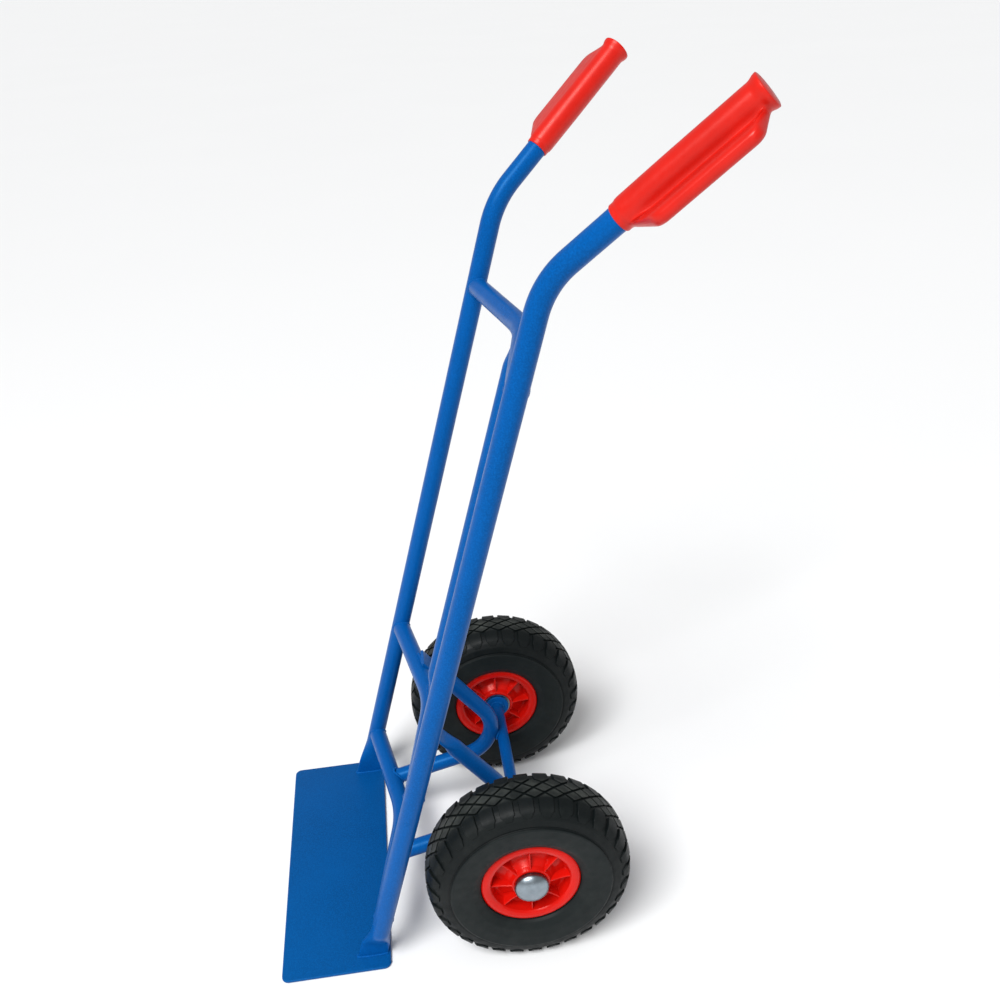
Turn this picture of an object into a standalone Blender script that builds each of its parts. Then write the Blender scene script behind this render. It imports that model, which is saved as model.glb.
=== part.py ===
"""Hand truck: two round-tube rails with swept-back handles, three bent crossbars, a centre strut,
a toe plate, two bent axle brackets, one axle and two free-running wheels with solid tyres.

Frame: metres, +Z up, +X to the truck's left, the toe plate towards -Y and the wheels towards +Y.
The origin is on the floor, under the middle of the truck's box.
"""

from math import asin, atan2, cos, pi, radians, sin, tan

import bmesh
import bpy
from mathutils import Matrix, Vector

GAP = 0.0003  # left between two pieces that are welded or pressed together
TUBE_SIDES = 16
ROUND_SIDES = 24  # of turned pieces smaller than a rim
RIM_SIDES = 32
TYRE_SIDES = 40

# Toe plate
PLATE_WIDTH = 0.388
PLATE_DEPTH = 0.141
PLATE_THICKNESS = 0.004
PLATE_CORNER = 0.009
PLATE_REAR_Y = -0.1376

# Rails and handles
TUBE_RADIUS = 0.0125
TUBE_WALL = 0.002
RAIL_X = 0.1815
RAIL_LEAN = radians(16.3)
RAIL_FOOT_Y = PLATE_REAR_Y - 0.0246  # where the rail's axis would meet the floor
HANDLE_BEND_HEIGHT = 0.8803
HANDLE_BEND_RADIUS = 0.100
HANDLE_RISE = radians(42.8)
HANDLE_SPLAY = radians(16.6)

# Grips
GRIP_START = 0.087  # along the handle from the corner of its bend
GRIP_LENGTH = 0.158
GRIP_BLIND = 0.015  # from the bottom of the grip's bore to its end
GRIP_RADIUS = 0.017
GRIP_COLLAR_RADIUS = 0.0148
GRIP_END_RADIUS = 0.0195
GUARD_START = 0.017  # along the grip
GUARD_END = 0.149
GUARD_REACH = 0.050  # outwards from the grip's axis, at the guard's start
GUARD_TAPER = 0.003  # less reach at its end
GUARD_THICKNESS = 0.009
GUARD_OFFSET = 0.0118  # of its middle from the grip's axis, so that it leaves the side at a tangent
GUARD_START_CORNER = (0.034, 0.032)  # along and outwards
GUARD_END_CORNER = (0.018, 0.018)

# Crossbars and strut
UPPER_BAR_HEIGHT = 0.776
MIDDLE_BAR_HEIGHT = 0.271
LOWER_BAR_HEIGHT = 0.075
BAR_BOW = 0.035  # from the rails' plane back to the corner of the bar's bend
BAR_BEND_RADIUS = 0.180
STRUT_RADIUS = 0.011

# Pressed tube ends: half the thickness of the flat, the flat's length, and the length that opens to round
PRESSED_HALF = 0.0026
PRESSED_SQUARENESS = 0.4  # power of the cosine across the flat: the lower, the squarer its ends
FOOT_PRESS = (0.014, 0.044)
BRACKET_PRESS = (0.022, 0.030)
BRACKET_OVERLAP = 0.010  # of the flat beyond the middle crossbar's axis
STRUT_PRESSED_HALF = 0.0050
STRUT_PRESS = (0.014, 0.030)

# Axle and its brackets
AXLE_Y = PLATE_REAR_Y + 0.1867
AXLE_RADIUS = 0.0085
BRACKET_X = 0.073
BRACKET_RADIUS = 0.011
BRACKET_BEND_RADIUS = 0.051
BRACKET_BEND_ANGLE = radians(162)  # from the axle to the centre of the bend, up from +Y
COLLAR_RADIUS = 0.0175
COLLAR_THICKNESS = 0.004
AXLE_STUB = 0.0095  # of the axle beyond each rim, inside the hub cap
AXLE_CHAMFER = 0.0015

# Wheels
WHEEL_X = 0.1729
WHEEL_RADIUS = 0.130
TYRE_HALF_WIDTH = 0.042
RIM_HALF_WIDTH = 0.032
RIM_RADIUS = 0.0625
RIM_SEAT_RADIUS = 0.0560  # where the tyre sits, between the rim's two flanges
RIM_LIP_RADIUS = 0.050
RIM_FLANGE = 0.0066  # thickness of the flange that holds the tyre's bead
RIM_CHAMFER = 0.0010
WEB_HALF = 0.0030  # of the middle web that the ribs stand on
HUB_RADIUS = 0.0245
BEARING_RADIUS = 0.020
BEARING_WIDTH = 0.012
SPACER_RADIUS = 0.0115
RIB_COUNT = 8
RIB_THICKNESS = 0.0035
CAP_RADIUS = 0.022
CAP_HEIGHT = 0.0130
CAP_SKIRT = 0.0020
CAP_WALL = 0.0010
WASHER_RADIUS = 0.0165
WASHER_THICKNESS = 0.0015
COLLAR_PLAY = 0.0005  # between a rim and its collar
WASHER_PLAY = 0.0004

# Finishes: colour, roughness, metallic
FINISHES = {
    "blue_paint": ((0.010, 0.120, 0.430), 0.38, 0.0),
    "red_grip": ((0.820, 0.040, 0.020), 0.35, 0.0),
    "red_rim": ((0.640, 0.015, 0.010), 0.35, 0.0),
    "tyre_rubber": ((0.018, 0.022, 0.024), 0.75, 0.0),
    "zinc": ((0.620, 0.630, 0.640), 0.30, 1.0),
    "bearing_steel": ((0.450, 0.460, 0.480), 0.25, 1.0),
}

X_AXIS = Vector((1, 0, 0))
Z_AXIS = Vector((0, 0, 1))


def clear_scene():
    for obj in list(bpy.data.objects):
        bpy.data.objects.remove(obj)


def finish(name):
    """The material of that name, made when it is first asked for."""
    found = bpy.data.materials.get(name)
    if found:
        return found
    colour, roughness, metallic = FINISHES[name]
    made = bpy.data.materials.new(name)
    made.use_nodes = True
    shader = made.node_tree.nodes["Principled BSDF"]
    shader.inputs["Base Color"].default_value = (*colour, 1)
    shader.inputs["Roughness"].default_value = roughness
    shader.inputs["Metallic"].default_value = metallic
    made.diffuse_color = (*colour, 1)
    return made


def add_object(name, bm, material, location=(0, 0, 0)):
    """A named object from a bmesh, with its faces turned outwards and its round sides shaded smooth."""
    bmesh.ops.recalc_face_normals(bm, faces=bm.faces)
    mesh = bpy.data.meshes.new(name)
    bm.to_mesh(mesh)
    bm.free()
    mesh.shade_smooth()
    mesh.set_sharp_from_angle(angle=radians(35))
    obj = bpy.data.objects.new(name, mesh)
    obj.location = location
    obj.data.materials.append(finish(material))
    bpy.context.scene.collection.objects.link(obj)
    return obj


def add_cutter(name, bm, location=(0, 0, 0)):
    cutter = add_object(name, bm, "zinc", location)
    cutter.hide_render = True
    cutter.display_type = "WIRE"
    return cutter


def combine(obj, other, operation):
    modifier = obj.modifiers.new(f"{operation.lower()} {other.name}", "BOOLEAN")
    modifier.operation = operation
    modifier.object = other
    modifier.solver = "EXACT"


# Lofts and turned shapes


def bridge(bm, rings):
    """Quads between successive closed rings of vertices."""
    for first, second in zip(rings[:-1], rings[1:]):
        for i in range(len(first)):
            j = (i + 1) % len(first)
            bm.faces.new((first[i], first[j], second[j], second[i]))


def solid_loft(rings):
    """A closed solid through rings of points, with flat ends."""
    bm = bmesh.new()
    loops = [[bm.verts.new(point) for point in ring] for ring in rings]
    bridge(bm, loops)
    bm.faces.new(loops[0])
    bm.faces.new(loops[-1])
    return bm


def hollow_loft(outer, inner):
    """A tube wall between two sets of rings, open at both ends."""
    bm = bmesh.new()
    skin = [[bm.verts.new(point) for point in ring] for ring in outer]
    bore = [[bm.verts.new(point) for point in ring] for ring in inner]
    bridge(bm, skin)
    bridge(bm, bore)
    bridge(bm, [skin[0], bore[0]])
    bridge(bm, [skin[-1], bore[-1]])
    return bm


def turned(profile, segments, closed):
    """A shape turned about X from (x, radius) points. A closed profile is a ring's section;
    an open one starts and ends on the axis."""
    bm = bmesh.new()
    rows = []
    for x, radius in profile:
        if radius < 1e-6:
            rows.append([bm.verts.new((x, 0, 0))])
            continue
        angles = [2 * pi * i / segments for i in range(segments)]
        rows.append([bm.verts.new((x, radius * cos(a), radius * sin(a))) for a in angles])
    pairs = list(zip(rows[:-1], rows[1:]))
    if closed:
        pairs.append((rows[-1], rows[0]))
    for first, second in pairs:
        if len(first) == 1 and len(second) == 1:
            continue
        for i in range(segments):
            j = (i + 1) % segments
            if len(first) == 1:
                bm.faces.new((first[0], second[j], second[i]))
            elif len(second) == 1:
                bm.faces.new((first[i], first[j], second[0]))
            else:
                bm.faces.new((first[i], first[j], second[j], second[i]))
    return bm


# Tube paths


def rounded_path(points, radius, steps):
    """The points' straight runs, with each corner between them rounded to an arc."""
    path = [points[0]]
    for before, corner, after in zip(points[:-2], points[1:-1], points[2:]):
        back = (before - corner).normalized()
        on = (after - corner).normalized()
        half = back.angle(on) / 2
        centre = corner + (back + on).normalized() * (radius / sin(half))
        start = (corner + back * (radius / tan(half)) - centre).normalized()
        end = (corner + on * (radius / tan(half)) - centre).normalized()
        for i in range(steps + 1):
            path.append(centre + start.slerp(end, i / steps) * radius)
    path.append(points[-1])
    return path


def with_stations(path, distances):
    """The path with extra points at these distances from its start."""
    stations = []
    travelled = 0
    for first, second in zip(path[:-1], path[1:]):
        length = (second - first).length
        stations.append((travelled, first))
        for distance in distances:
            if travelled + 1e-4 < distance < travelled + length - 1e-4:
                stations.append((distance, first.lerp(second, (distance - travelled) / length)))
        travelled += length
    stations.append((travelled, path[-1]))
    return sorted(stations, key=lambda station: station[0])


def directions(path):
    """The direction of travel at each point, halved at a bend so that the section stays round."""
    runs = [(b - a).normalized() for a, b in zip(path[:-1], path[1:])]
    middles = [(a + b).normalized() for a, b in zip(runs[:-1], runs[1:])]
    return [runs[0], *middles, runs[-1]]


def smooth_step(value):
    value = min(max(value, 0), 1)
    return value * value * (3 - 2 * value)


class Press:
    """A tube's end pressed flat: fully flat for a length, then opening to the round tube."""

    def __init__(self, flat, opening, half_thickness, along_reference, shift=0.0):
        self.flat = flat
        self.opening = opening
        self.half_thickness = half_thickness
        self.along_reference = along_reference  # the wide side lies along the reference direction
        self.shift = shift  # of the flat end along the reference direction

    def amount(self, distance):
        return 1 - smooth_step((distance - self.flat) / self.opening)

    def stations(self):
        return [self.flat + self.opening * i / 4 for i in range(5)]


def section(centre, direction, reference, radius, press, amount, wall, sides):
    """One ring of a tube's section, between round and pressed flat. wall is 0 for its outer side."""
    wide_axis = (reference - direction * reference.dot(direction)).normalized()
    thin_axis = direction.cross(wide_axis)
    ring = []
    for i in range(sides):
        angle = 2 * pi * i / sides
        across, over = cos(angle), sin(angle)
        point = wide_axis * (across * (radius - wall)) + thin_axis * (over * (radius - wall))
        if press and amount > 0:
            half_width = pi * (radius - 0.3 * TUBE_WALL) / 2 - wall
            half_thickness = press.half_thickness - 0.8 * wall
            if press.along_reference:
                flat = wide_axis * (across * half_width)
                flat += thin_axis * (half_thickness * squared(over))
            else:
                flat = wide_axis * (half_thickness * squared(across))
                flat += thin_axis * (over * half_width)
            flat += wide_axis * press.shift
            point = point.lerp(flat, amount)
        ring.append(centre + point)
    return ring


def squared(value):
    """A cosine pushed out towards +-1, which squares off a flattened section's ends."""
    return abs(value) ** PRESSED_SQUARENESS * (1 if value > 0 else -1)


def tube_rings(path, reference, radius, wall, sides, start=None, end=None):
    """The rings of one side of a tube along a path, whose ends may be pressed."""
    total = sum((b - a).length for a, b in zip(path[:-1], path[1:]))
    distances = start.stations() if start else []
    if end:
        distances = distances + [total - d for d in end.stations()]
    stations = with_stations(path, distances)
    points = [point for _, point in stations]
    rings = []
    for (distance, point), direction in zip(stations, directions(points)):
        press, amount = start, start.amount(distance) if start else 0
        if end and end.amount(total - distance) > 0:
            press, amount = end, end.amount(total - distance)
        rings.append(section(point, direction, reference, radius, press, amount, wall, sides))
    return rings


def tube(path, reference, radius, sides=TUBE_SIDES, start=None, end=None, level_foot=False):
    """A hollow tube's bmesh. level_foot cuts its start off level, to stand on a flat plate."""
    outer = tube_rings(path, reference, radius, 0, sides, start, end)
    inner = tube_rings(path, reference, radius, TUBE_WALL, sides, start, end)
    if level_foot:
        direction = (path[1] - path[0]).normalized()
        for ring in (outer[0], inner[0]):
            ring[:] = [p + direction * ((path[0].z - p.z) / direction.z) for p in ring]
    return hollow_loft(outer, inner)


def rod(path, reference, radius, sides=TUBE_SIDES):
    return solid_loft(tube_rings(path, reference, radius, 0, sides))


# The frame


def rail_point(x, height):
    """The point of the rails' plane at that height and x."""
    return Vector((x, RAIL_FOOT_Y + height * tan(RAIL_LEAN), height))


def handle_direction(side):
    rise = Vector((0, cos(HANDLE_RISE), sin(HANDLE_RISE)))
    return rise * cos(HANDLE_SPLAY) + X_AXIS * (side * sin(HANDLE_SPLAY))


def handle_point(side, distance):
    """A point on the handle's axis, counted from the corner of its bend."""
    return rail_point(side * RAIL_X, HANDLE_BEND_HEIGHT) + handle_direction(side) * distance


def bar_path(height):
    """A crossbar's axis from the right rail to the left one, bowed back to a bend in the middle."""
    corner = rail_point(0, height) + Vector((0, BAR_BOW, 0))
    ends = [rail_point(-RAIL_X, height), corner, rail_point(RAIL_X, height)]
    return rounded_path(ends, BAR_BEND_RADIUS, 4)


def bar_point(x, height):
    """The point of a crossbar's straight run at that x."""
    return rail_point(x, height) + Vector((0, BAR_BOW * (1 - abs(x) / RAIL_X), 0))


def bar_middle(height):
    """The rearmost point of a crossbar's axis."""
    path = bar_path(height)
    return path[len(path) // 2]


def make_rail(side, name):
    foot = rail_point(side * RAIL_X, PLATE_THICKNESS + GAP)
    top = handle_point(side, GRIP_START + GRIP_LENGTH - GRIP_BLIND - 0.001)
    corner = rail_point(side * RAIL_X, HANDLE_BEND_HEIGHT)
    path = rounded_path([foot, corner, top], HANDLE_BEND_RADIUS, 7)
    press = Press(*FOOT_PRESS, PRESSED_HALF, False, -side * (TUBE_RADIUS - PRESSED_HALF))
    bm = tube(path, X_AXIS, TUBE_RADIUS, start=press, level_foot=True)
    return add_object(name, bm, "blue_paint")


def rail_cutter(side, name):
    low = rail_point(side * RAIL_X, 0.02)
    high = rail_point(side * RAIL_X, HANDLE_BEND_HEIGHT - 0.06)
    bm = rod([low, high], X_AXIS, TUBE_RADIUS + GAP)
    return add_cutter(name, bm)


def bar_cutter(height, name):
    return add_cutter(name, rod(bar_path(height), Z_AXIS, TUBE_RADIUS + GAP))


def make_crossbar(name, height, rail_cutters):
    bar = add_object(name, tube(bar_path(height), Z_AXIS, TUBE_RADIUS), "blue_paint")
    for cutter in rail_cutters:
        combine(bar, cutter, "DIFFERENCE")
    return bar


def make_strut(upper_cutter, middle_cutter):
    """The upright between the upper and the middle crossbar, its ends pressed and shaped to them."""
    ends = [bar_middle(UPPER_BAR_HEIGHT), bar_middle(MIDDLE_BAR_HEIGHT)]
    press = Press(*STRUT_PRESS, STRUT_PRESSED_HALF, True)
    bm = tube(ends, X_AXIS, STRUT_RADIUS, start=press, end=press)
    strut = add_object("centre_strut", bm, "blue_paint")
    combine(strut, upper_cutter, "DIFFERENCE")
    combine(strut, middle_cutter, "DIFFERENCE")
    return strut


def bracket_path(side):
    """The bracket's axis: from the lower crossbar back to the axle, round it, and up to the middle
    crossbar, whose rear side its pressed end lies on. Both legs leave the bend at a tangent."""
    reach = BRACKET_BEND_RADIUS + BRACKET_RADIUS + AXLE_RADIUS + GAP
    centre_y = AXLE_Y + reach * cos(BRACKET_BEND_ANGLE)
    centre_z = WHEEL_RADIUS + reach * sin(BRACKET_BEND_ANGLE)
    lower = bar_point(side * BRACKET_X, LOWER_BAR_HEIGHT)
    middle = bar_point(side * BRACKET_X, MIDDLE_BAR_HEIGHT)
    lap = TUBE_RADIUS + PRESSED_HALF + GAP

    to_lower = (lower.y - centre_y, lower.z - centre_z)
    distance = (to_lower[0] ** 2 + to_lower[1] ** 2) ** 0.5
    spread = pi / 2 - asin(BRACKET_BEND_RADIUS / distance)
    first_angle = atan2(to_lower[1], to_lower[0]) + spread

    to_middle = (middle.y - centre_y, middle.z - centre_z)
    distance = (to_middle[0] ** 2 + to_middle[1] ** 2) ** 0.5
    spread = pi / 2 - asin((BRACKET_BEND_RADIUS - lap) / distance)
    last_angle = atan2(to_middle[1], to_middle[0]) - spread

    first_angle %= 2 * pi
    last_angle = last_angle % (2 * pi) + 2 * pi
    x = side * BRACKET_X
    arc = []
    for i in range(11):
        angle = first_angle + (last_angle - first_angle) * i / 10
        y = centre_y + BRACKET_BEND_RADIUS * cos(angle)
        z = centre_z + BRACKET_BEND_RADIUS * sin(angle)
        arc.append(Vector((x, y, z)))
    rise = Vector((0, -sin(last_angle), cos(last_angle)))
    tip = arc[-1] + rise * ((middle - arc[-1]).dot(rise) + BRACKET_OVERLAP)
    return [lower, *arc, tip]


def make_bracket(side, name, lower_cutter, middle_cutter):
    press = Press(*BRACKET_PRESS, PRESSED_HALF, True)
    bm = tube(bracket_path(side), X_AXIS, BRACKET_RADIUS, end=press)
    bracket = add_object(name, bm, "blue_paint")
    combine(bracket, lower_cutter, "DIFFERENCE")
    combine(bracket, middle_cutter, "DIFFERENCE")
    return bracket


def make_toe_plate():
    """The flat plate that goes under the load, with rounded corners."""
    outline = []
    centres = [(1, 1), (-1, 1), (-1, -1), (1, -1)]
    middle_y = PLATE_REAR_Y - PLATE_DEPTH / 2
    for quarter, (sx, sy) in enumerate(centres):
        for i in range(7):
            angle = pi / 2 * (quarter + i / 6)
            x = sx * (PLATE_WIDTH / 2 - PLATE_CORNER) + PLATE_CORNER * cos(angle)
            y = sy * (PLATE_DEPTH / 2 - PLATE_CORNER) + PLATE_CORNER * sin(angle)
            outline.append((x, middle_y + y))
    bm = solid_loft([[Vector((x, y, z)) for x, y in outline] for z in (0, PLATE_THICKNESS)])
    return add_object("toe_plate", bm, "blue_paint")


def make_grip(side, name):
    """A moulded grip: a blind sleeve with a collar, a domed end and a hand guard on its outer side.
    Both are the same moulding, half a turn apart, so the guards are on opposite faces of the handles."""
    end = GRIP_LENGTH
    profile = [
        (0, 0), (0, GRIP_COLLAR_RADIUS), (0.006, GRIP_COLLAR_RADIUS), (0.010, GRIP_RADIUS),
        (end - 0.020, GRIP_RADIUS), (end - 0.012, GRIP_END_RADIUS - 0.001),
        (end - 0.008, GRIP_END_RADIUS), (end - 0.003, GRIP_END_RADIUS - 0.001),
        (end - 0.001, GRIP_END_RADIUS - 0.006), (end, 0),
    ]
    grip = add_object(name, turned(profile, ROUND_SIDES, False), "red_grip")
    guard = add_cutter(f"{name}_guard", guard_blank())
    hole = TUBE_RADIUS + GAP
    depth = end - GRIP_BLIND
    bore = turned([(-0.01, 0), (-0.01, hole), (depth, hole), (depth, 0)], TUBE_SIDES, False)
    bore = add_cutter(f"{name}_bore", bore)
    along = handle_direction(side)
    outward = X_AXIS * side
    outward = (outward - along * outward.dot(along)).normalized()
    rotation = Matrix((along, outward, along.cross(outward))).transposed()
    place = Matrix.Translation(handle_point(side, GRIP_START)) @ rotation.to_4x4()
    offset = Matrix.Translation((0, 0, GUARD_OFFSET))
    grip.matrix_world = place
    guard.matrix_world = place @ offset
    bore.matrix_world = place
    combine(grip, guard, "UNION")
    combine(grip, bore, "DIFFERENCE")
    return grip


def corner_arc(corner, radii, turn):
    """A quarter ellipse inside a corner of the guard, from turn (an angle) on by a quarter turn."""
    along = corner[0] - radii[0] * (1 if turn < 1 else -1)
    arc = []
    for i in range(7):
        angle = turn + pi / 2 * i / 6
        arc.append((along + radii[0] * cos(angle), corner[1] - radii[1] * (1 - sin(angle))))
    return arc


def guard_blank():
    """The guard's plate in the grip's own frame: x along the grip, y outwards."""
    outline = [(GUARD_START, 0), (GUARD_END, 0)]
    outline += corner_arc((GUARD_END, GUARD_REACH - GUARD_TAPER), GUARD_END_CORNER, 0)
    outline += corner_arc((GUARD_START, GUARD_REACH), GUARD_START_CORNER, pi / 2)
    half = GUARD_THICKNESS / 2
    return solid_loft([[Vector((x, y, z)) for x, y in outline] for z in (-half, half)])


# The running gear


def make_axle():
    half = WHEEL_X + RIM_HALF_WIDTH + AXLE_STUB
    profile = [
        (-half, 0), (-half, AXLE_RADIUS - AXLE_CHAMFER), (-half + AXLE_CHAMFER, AXLE_RADIUS),
        (half - AXLE_CHAMFER, AXLE_RADIUS), (half, AXLE_RADIUS - AXLE_CHAMFER), (half, 0),
    ]
    return add_object("axle", turned(profile, ROUND_SIDES, False), "blue_paint", (0, AXLE_Y, WHEEL_RADIUS))


def ring_section(low, high, inner, outer):
    return [(low, inner), (low, outer), (high, outer), (high, inner)]


def place_on_axle(name, profile, segments, closed, material, side):
    """A turned piece whose profile runs outwards from the wheel's middle plane."""
    points = [(side * x, radius) for x, radius in profile]
    location = (side * WHEEL_X, AXLE_Y, WHEEL_RADIUS)
    return add_object(name, turned(points, segments, closed), material, location)


def make_tyre(side, name):
    """The tyre's section from its bead on the rim, out over the sidewall and across the tread."""
    seat = RIM_SEAT_RADIUS + GAP
    bead = RIM_HALF_WIDTH - RIM_FLANGE - GAP
    flank = [
        (bead, seat), (bead, RIM_RADIUS + 0.0004), (RIM_HALF_WIDTH + 0.001, RIM_RADIUS + 0.0004),
        (TYRE_HALF_WIDTH - 0.0015, 0.080), (TYRE_HALF_WIDTH, 0.099), (TYRE_HALF_WIDTH - 0.004, 0.1165),
        (TYRE_HALF_WIDTH - 0.013, 0.1260), (TYRE_HALF_WIDTH - 0.027, 0.1292),
    ]
    mirrored = [(-x, radius) for x, radius in flank[::-1]]
    profile = [*flank, (0, WHEEL_RADIUS), *mirrored]
    return place_on_axle(name, profile, TYRE_SIDES, True, "tyre_rubber", side)


def make_rim(side, name):
    """A one-piece moulded rim: bead seat, two lips, a middle web, a hub and ribs on both faces."""
    bore = BEARING_RADIUS + GAP
    step = RIM_HALF_WIDTH - BEARING_WIDTH - GAP
    flange = RIM_HALF_WIDTH - RIM_FLANGE
    half = [
        (flange, RIM_SEAT_RADIUS), (flange, RIM_RADIUS - RIM_CHAMFER),
        (flange + RIM_CHAMFER, RIM_RADIUS), (RIM_HALF_WIDTH - RIM_CHAMFER, RIM_RADIUS),
        (RIM_HALF_WIDTH, RIM_RADIUS - RIM_CHAMFER), (RIM_HALF_WIDTH, RIM_LIP_RADIUS + 0.002),
        (RIM_HALF_WIDTH - 0.003, RIM_LIP_RADIUS), (WEB_HALF, RIM_LIP_RADIUS - 0.005),
        (WEB_HALF, HUB_RADIUS + 0.003), (RIM_HALF_WIDTH, HUB_RADIUS),
        (RIM_HALF_WIDTH, bore), (step, bore), (step, bore - 0.004),
    ]
    mirrored = [(-x, radius) for x, radius in half[::-1]]
    rim = place_on_axle(name, [*half, *mirrored], RIM_SIDES, True, "red_rim", side)
    ribs = add_cutter(f"{name}_ribs", rib_blanks(), rim.location)
    combine(rim, ribs, "UNION")
    return rim


def rib_blanks():
    """Eight radial plates that reach from inside the hub's wall to inside the lip."""
    bm = bmesh.new()
    low, high = HUB_RADIUS - 0.002, RIM_LIP_RADIUS + 0.001
    reach = RIM_HALF_WIDTH - 0.006
    for i in range(RIB_COUNT):
        turn = Matrix.Rotation(2 * pi * (i + 0.5) / RIB_COUNT, 4, "X")
        size = Matrix.Diagonal((2 * reach, RIB_THICKNESS, high - low, 1))
        place = turn @ Matrix.Translation((0, 0, (low + high) / 2)) @ size
        bmesh.ops.create_cube(bm, size=1, matrix=place)
    return bm


def make_wheel(side, prefix):
    make_tyre(side, f"{prefix}_tyre")
    make_rim(side, f"{prefix}_rim")
    shaft = AXLE_RADIUS + GAP
    outer_end = RIM_HALF_WIDTH
    inner_end = RIM_HALF_WIDTH - BEARING_WIDTH
    rows = (("outer", outer_end, inner_end), ("inner", -inner_end, -outer_end))
    for place, high, low in rows:
        ring = ring_section(low, high, shaft, BEARING_RADIUS)
        place_on_axle(f"{prefix}_{place}_bearing", ring, ROUND_SIDES, True, "bearing_steel", side)


def make_axle_fittings(side, prefix):
    """What stays on the axle at each wheel: spacer, inner collar, outer washer and end cap."""
    shaft = AXLE_RADIUS + GAP
    inside = RIM_HALF_WIDTH - BEARING_WIDTH - GAP
    spacer = ring_section(-inside, inside, shaft, SPACER_RADIUS)
    place_on_axle(f"{prefix}_hub_spacer", spacer, ROUND_SIDES, True, "zinc", side)
    face = -RIM_HALF_WIDTH - COLLAR_PLAY
    collar = ring_section(face - COLLAR_THICKNESS, face, shaft, COLLAR_RADIUS)
    place_on_axle(f"{prefix}_axle_collar", collar, ROUND_SIDES, True, "blue_paint", side)
    face = RIM_HALF_WIDTH + WASHER_PLAY
    washer = ring_section(face, face + WASHER_THICKNESS, shaft, WASHER_RADIUS)
    place_on_axle(f"{prefix}_outer_washer", washer, ROUND_SIDES, True, "zinc", side)
    base = face + WASHER_THICKNESS + GAP
    place_on_axle(f"{prefix}_hub_cap", cap_section(base), ROUND_SIDES, True, "zinc", side)


def cap_section(base):
    """A pressed dome with a base that grips the axle's end, turned about the axle."""
    dome = base + CAP_SKIRT
    rise = CAP_HEIGHT - CAP_SKIRT
    inner_radius = CAP_RADIUS - 3 * CAP_WALL
    profile = [(base, AXLE_RADIUS + GAP), (base, CAP_RADIUS), (dome, CAP_RADIUS)]
    profile += dome_arc(dome, rise, CAP_RADIUS - CAP_WALL)
    inner = [(base + CAP_WALL, AXLE_RADIUS + GAP), (base + CAP_WALL, inner_radius)]
    inner += dome_arc(dome, rise - CAP_WALL, inner_radius)
    return profile + inner[::-1]


def dome_arc(base, rise, radius):
    """A quarter ellipse from just above the base up to the axis."""
    arc = []
    for i in range(1, 5):
        angle = pi / 2 * i / 5
        arc.append((base + rise * sin(angle), radius * cos(angle)))
    return [*arc, (base + rise, 0)]


def build():
    clear_scene()
    make_toe_plate()
    sides = ((1, "left"), (-1, "right"))
    rail_cutters = [rail_cutter(side, f"{name}_rail_cutter") for side, name in sides]
    lower_cutter = bar_cutter(LOWER_BAR_HEIGHT, "lower_bar_cutter")
    middle_cutter = bar_cutter(MIDDLE_BAR_HEIGHT, "middle_bar_cutter")
    upper_cutter = bar_cutter(UPPER_BAR_HEIGHT, "upper_bar_cutter")
    make_crossbar("upper_crossbar", UPPER_BAR_HEIGHT, rail_cutters)
    make_crossbar("middle_crossbar", MIDDLE_BAR_HEIGHT, rail_cutters)
    make_crossbar("lower_crossbar", LOWER_BAR_HEIGHT, rail_cutters)
    make_strut(upper_cutter, middle_cutter)
    make_axle()
    for side, name in sides:
        make_rail(side, f"{name}_rail")
        make_grip(side, f"{name}_grip")
        make_bracket(side, f"{name}_axle_bracket", lower_cutter, middle_cutter)
        make_axle_fittings(side, name)
        make_wheel(side, name)


build()
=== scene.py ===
"""Looks of a hand truck: blue powder-coated tube frame, red moulded grips and rims, black block-tread
tyres and zinc-plated hub caps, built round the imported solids, which give the place of every piece."""

import logging
from dataclasses import dataclass, field
from enum import Enum
from math import asin, atan2, cos, pi, radians, sin, sqrt, tan
from typing import Sequence

import bmesh
import bpy
import numpy as np
from mathutils import Euler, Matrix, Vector


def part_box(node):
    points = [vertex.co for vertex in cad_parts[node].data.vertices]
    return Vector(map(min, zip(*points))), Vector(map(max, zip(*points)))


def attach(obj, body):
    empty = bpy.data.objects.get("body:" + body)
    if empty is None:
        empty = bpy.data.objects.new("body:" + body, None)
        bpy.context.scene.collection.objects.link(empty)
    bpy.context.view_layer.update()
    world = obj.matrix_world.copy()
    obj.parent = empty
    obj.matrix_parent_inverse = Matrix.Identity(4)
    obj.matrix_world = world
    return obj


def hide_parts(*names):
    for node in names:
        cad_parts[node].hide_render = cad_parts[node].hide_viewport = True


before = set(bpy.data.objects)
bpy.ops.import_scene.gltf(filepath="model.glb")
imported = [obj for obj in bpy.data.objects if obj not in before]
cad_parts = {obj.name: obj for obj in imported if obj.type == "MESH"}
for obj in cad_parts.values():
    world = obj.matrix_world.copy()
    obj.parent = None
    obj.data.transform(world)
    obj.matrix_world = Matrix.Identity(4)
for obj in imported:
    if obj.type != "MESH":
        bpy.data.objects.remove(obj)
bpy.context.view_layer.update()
LOG = logging.getLogger("hand_truck")

Point = Sequence[float]
Range = tuple[float, float]
Colour = tuple[float, float, float]
Faces = list[tuple[int, ...]]
Shape = tuple[list[np.ndarray], Faces]
Socket = bpy.types.NodeSocket
X_AXIS = np.array((1.0, 0.0, 0.0))
Z_AXIS = np.array((0.0, 0.0, 1.0))


class Side(Enum):
    """Left and right of the truck. The value is the sign of X on that side."""

    LEFT = 1
    RIGHT = -1

    @property
    def prefix(self) -> str:
        """The side's name, as the solids' names begin."""
        return self.name.lower()


class Slot(Enum):
    """The record's material slots."""

    PAINT = "blue_paint"
    GRIP = "red_grip"
    RIM = "red_rim"
    TYRE = "tyre_rubber"
    ZINC = "zinc"
    STEEL = "bearing_steel"


# Points, paths and meshes


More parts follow.
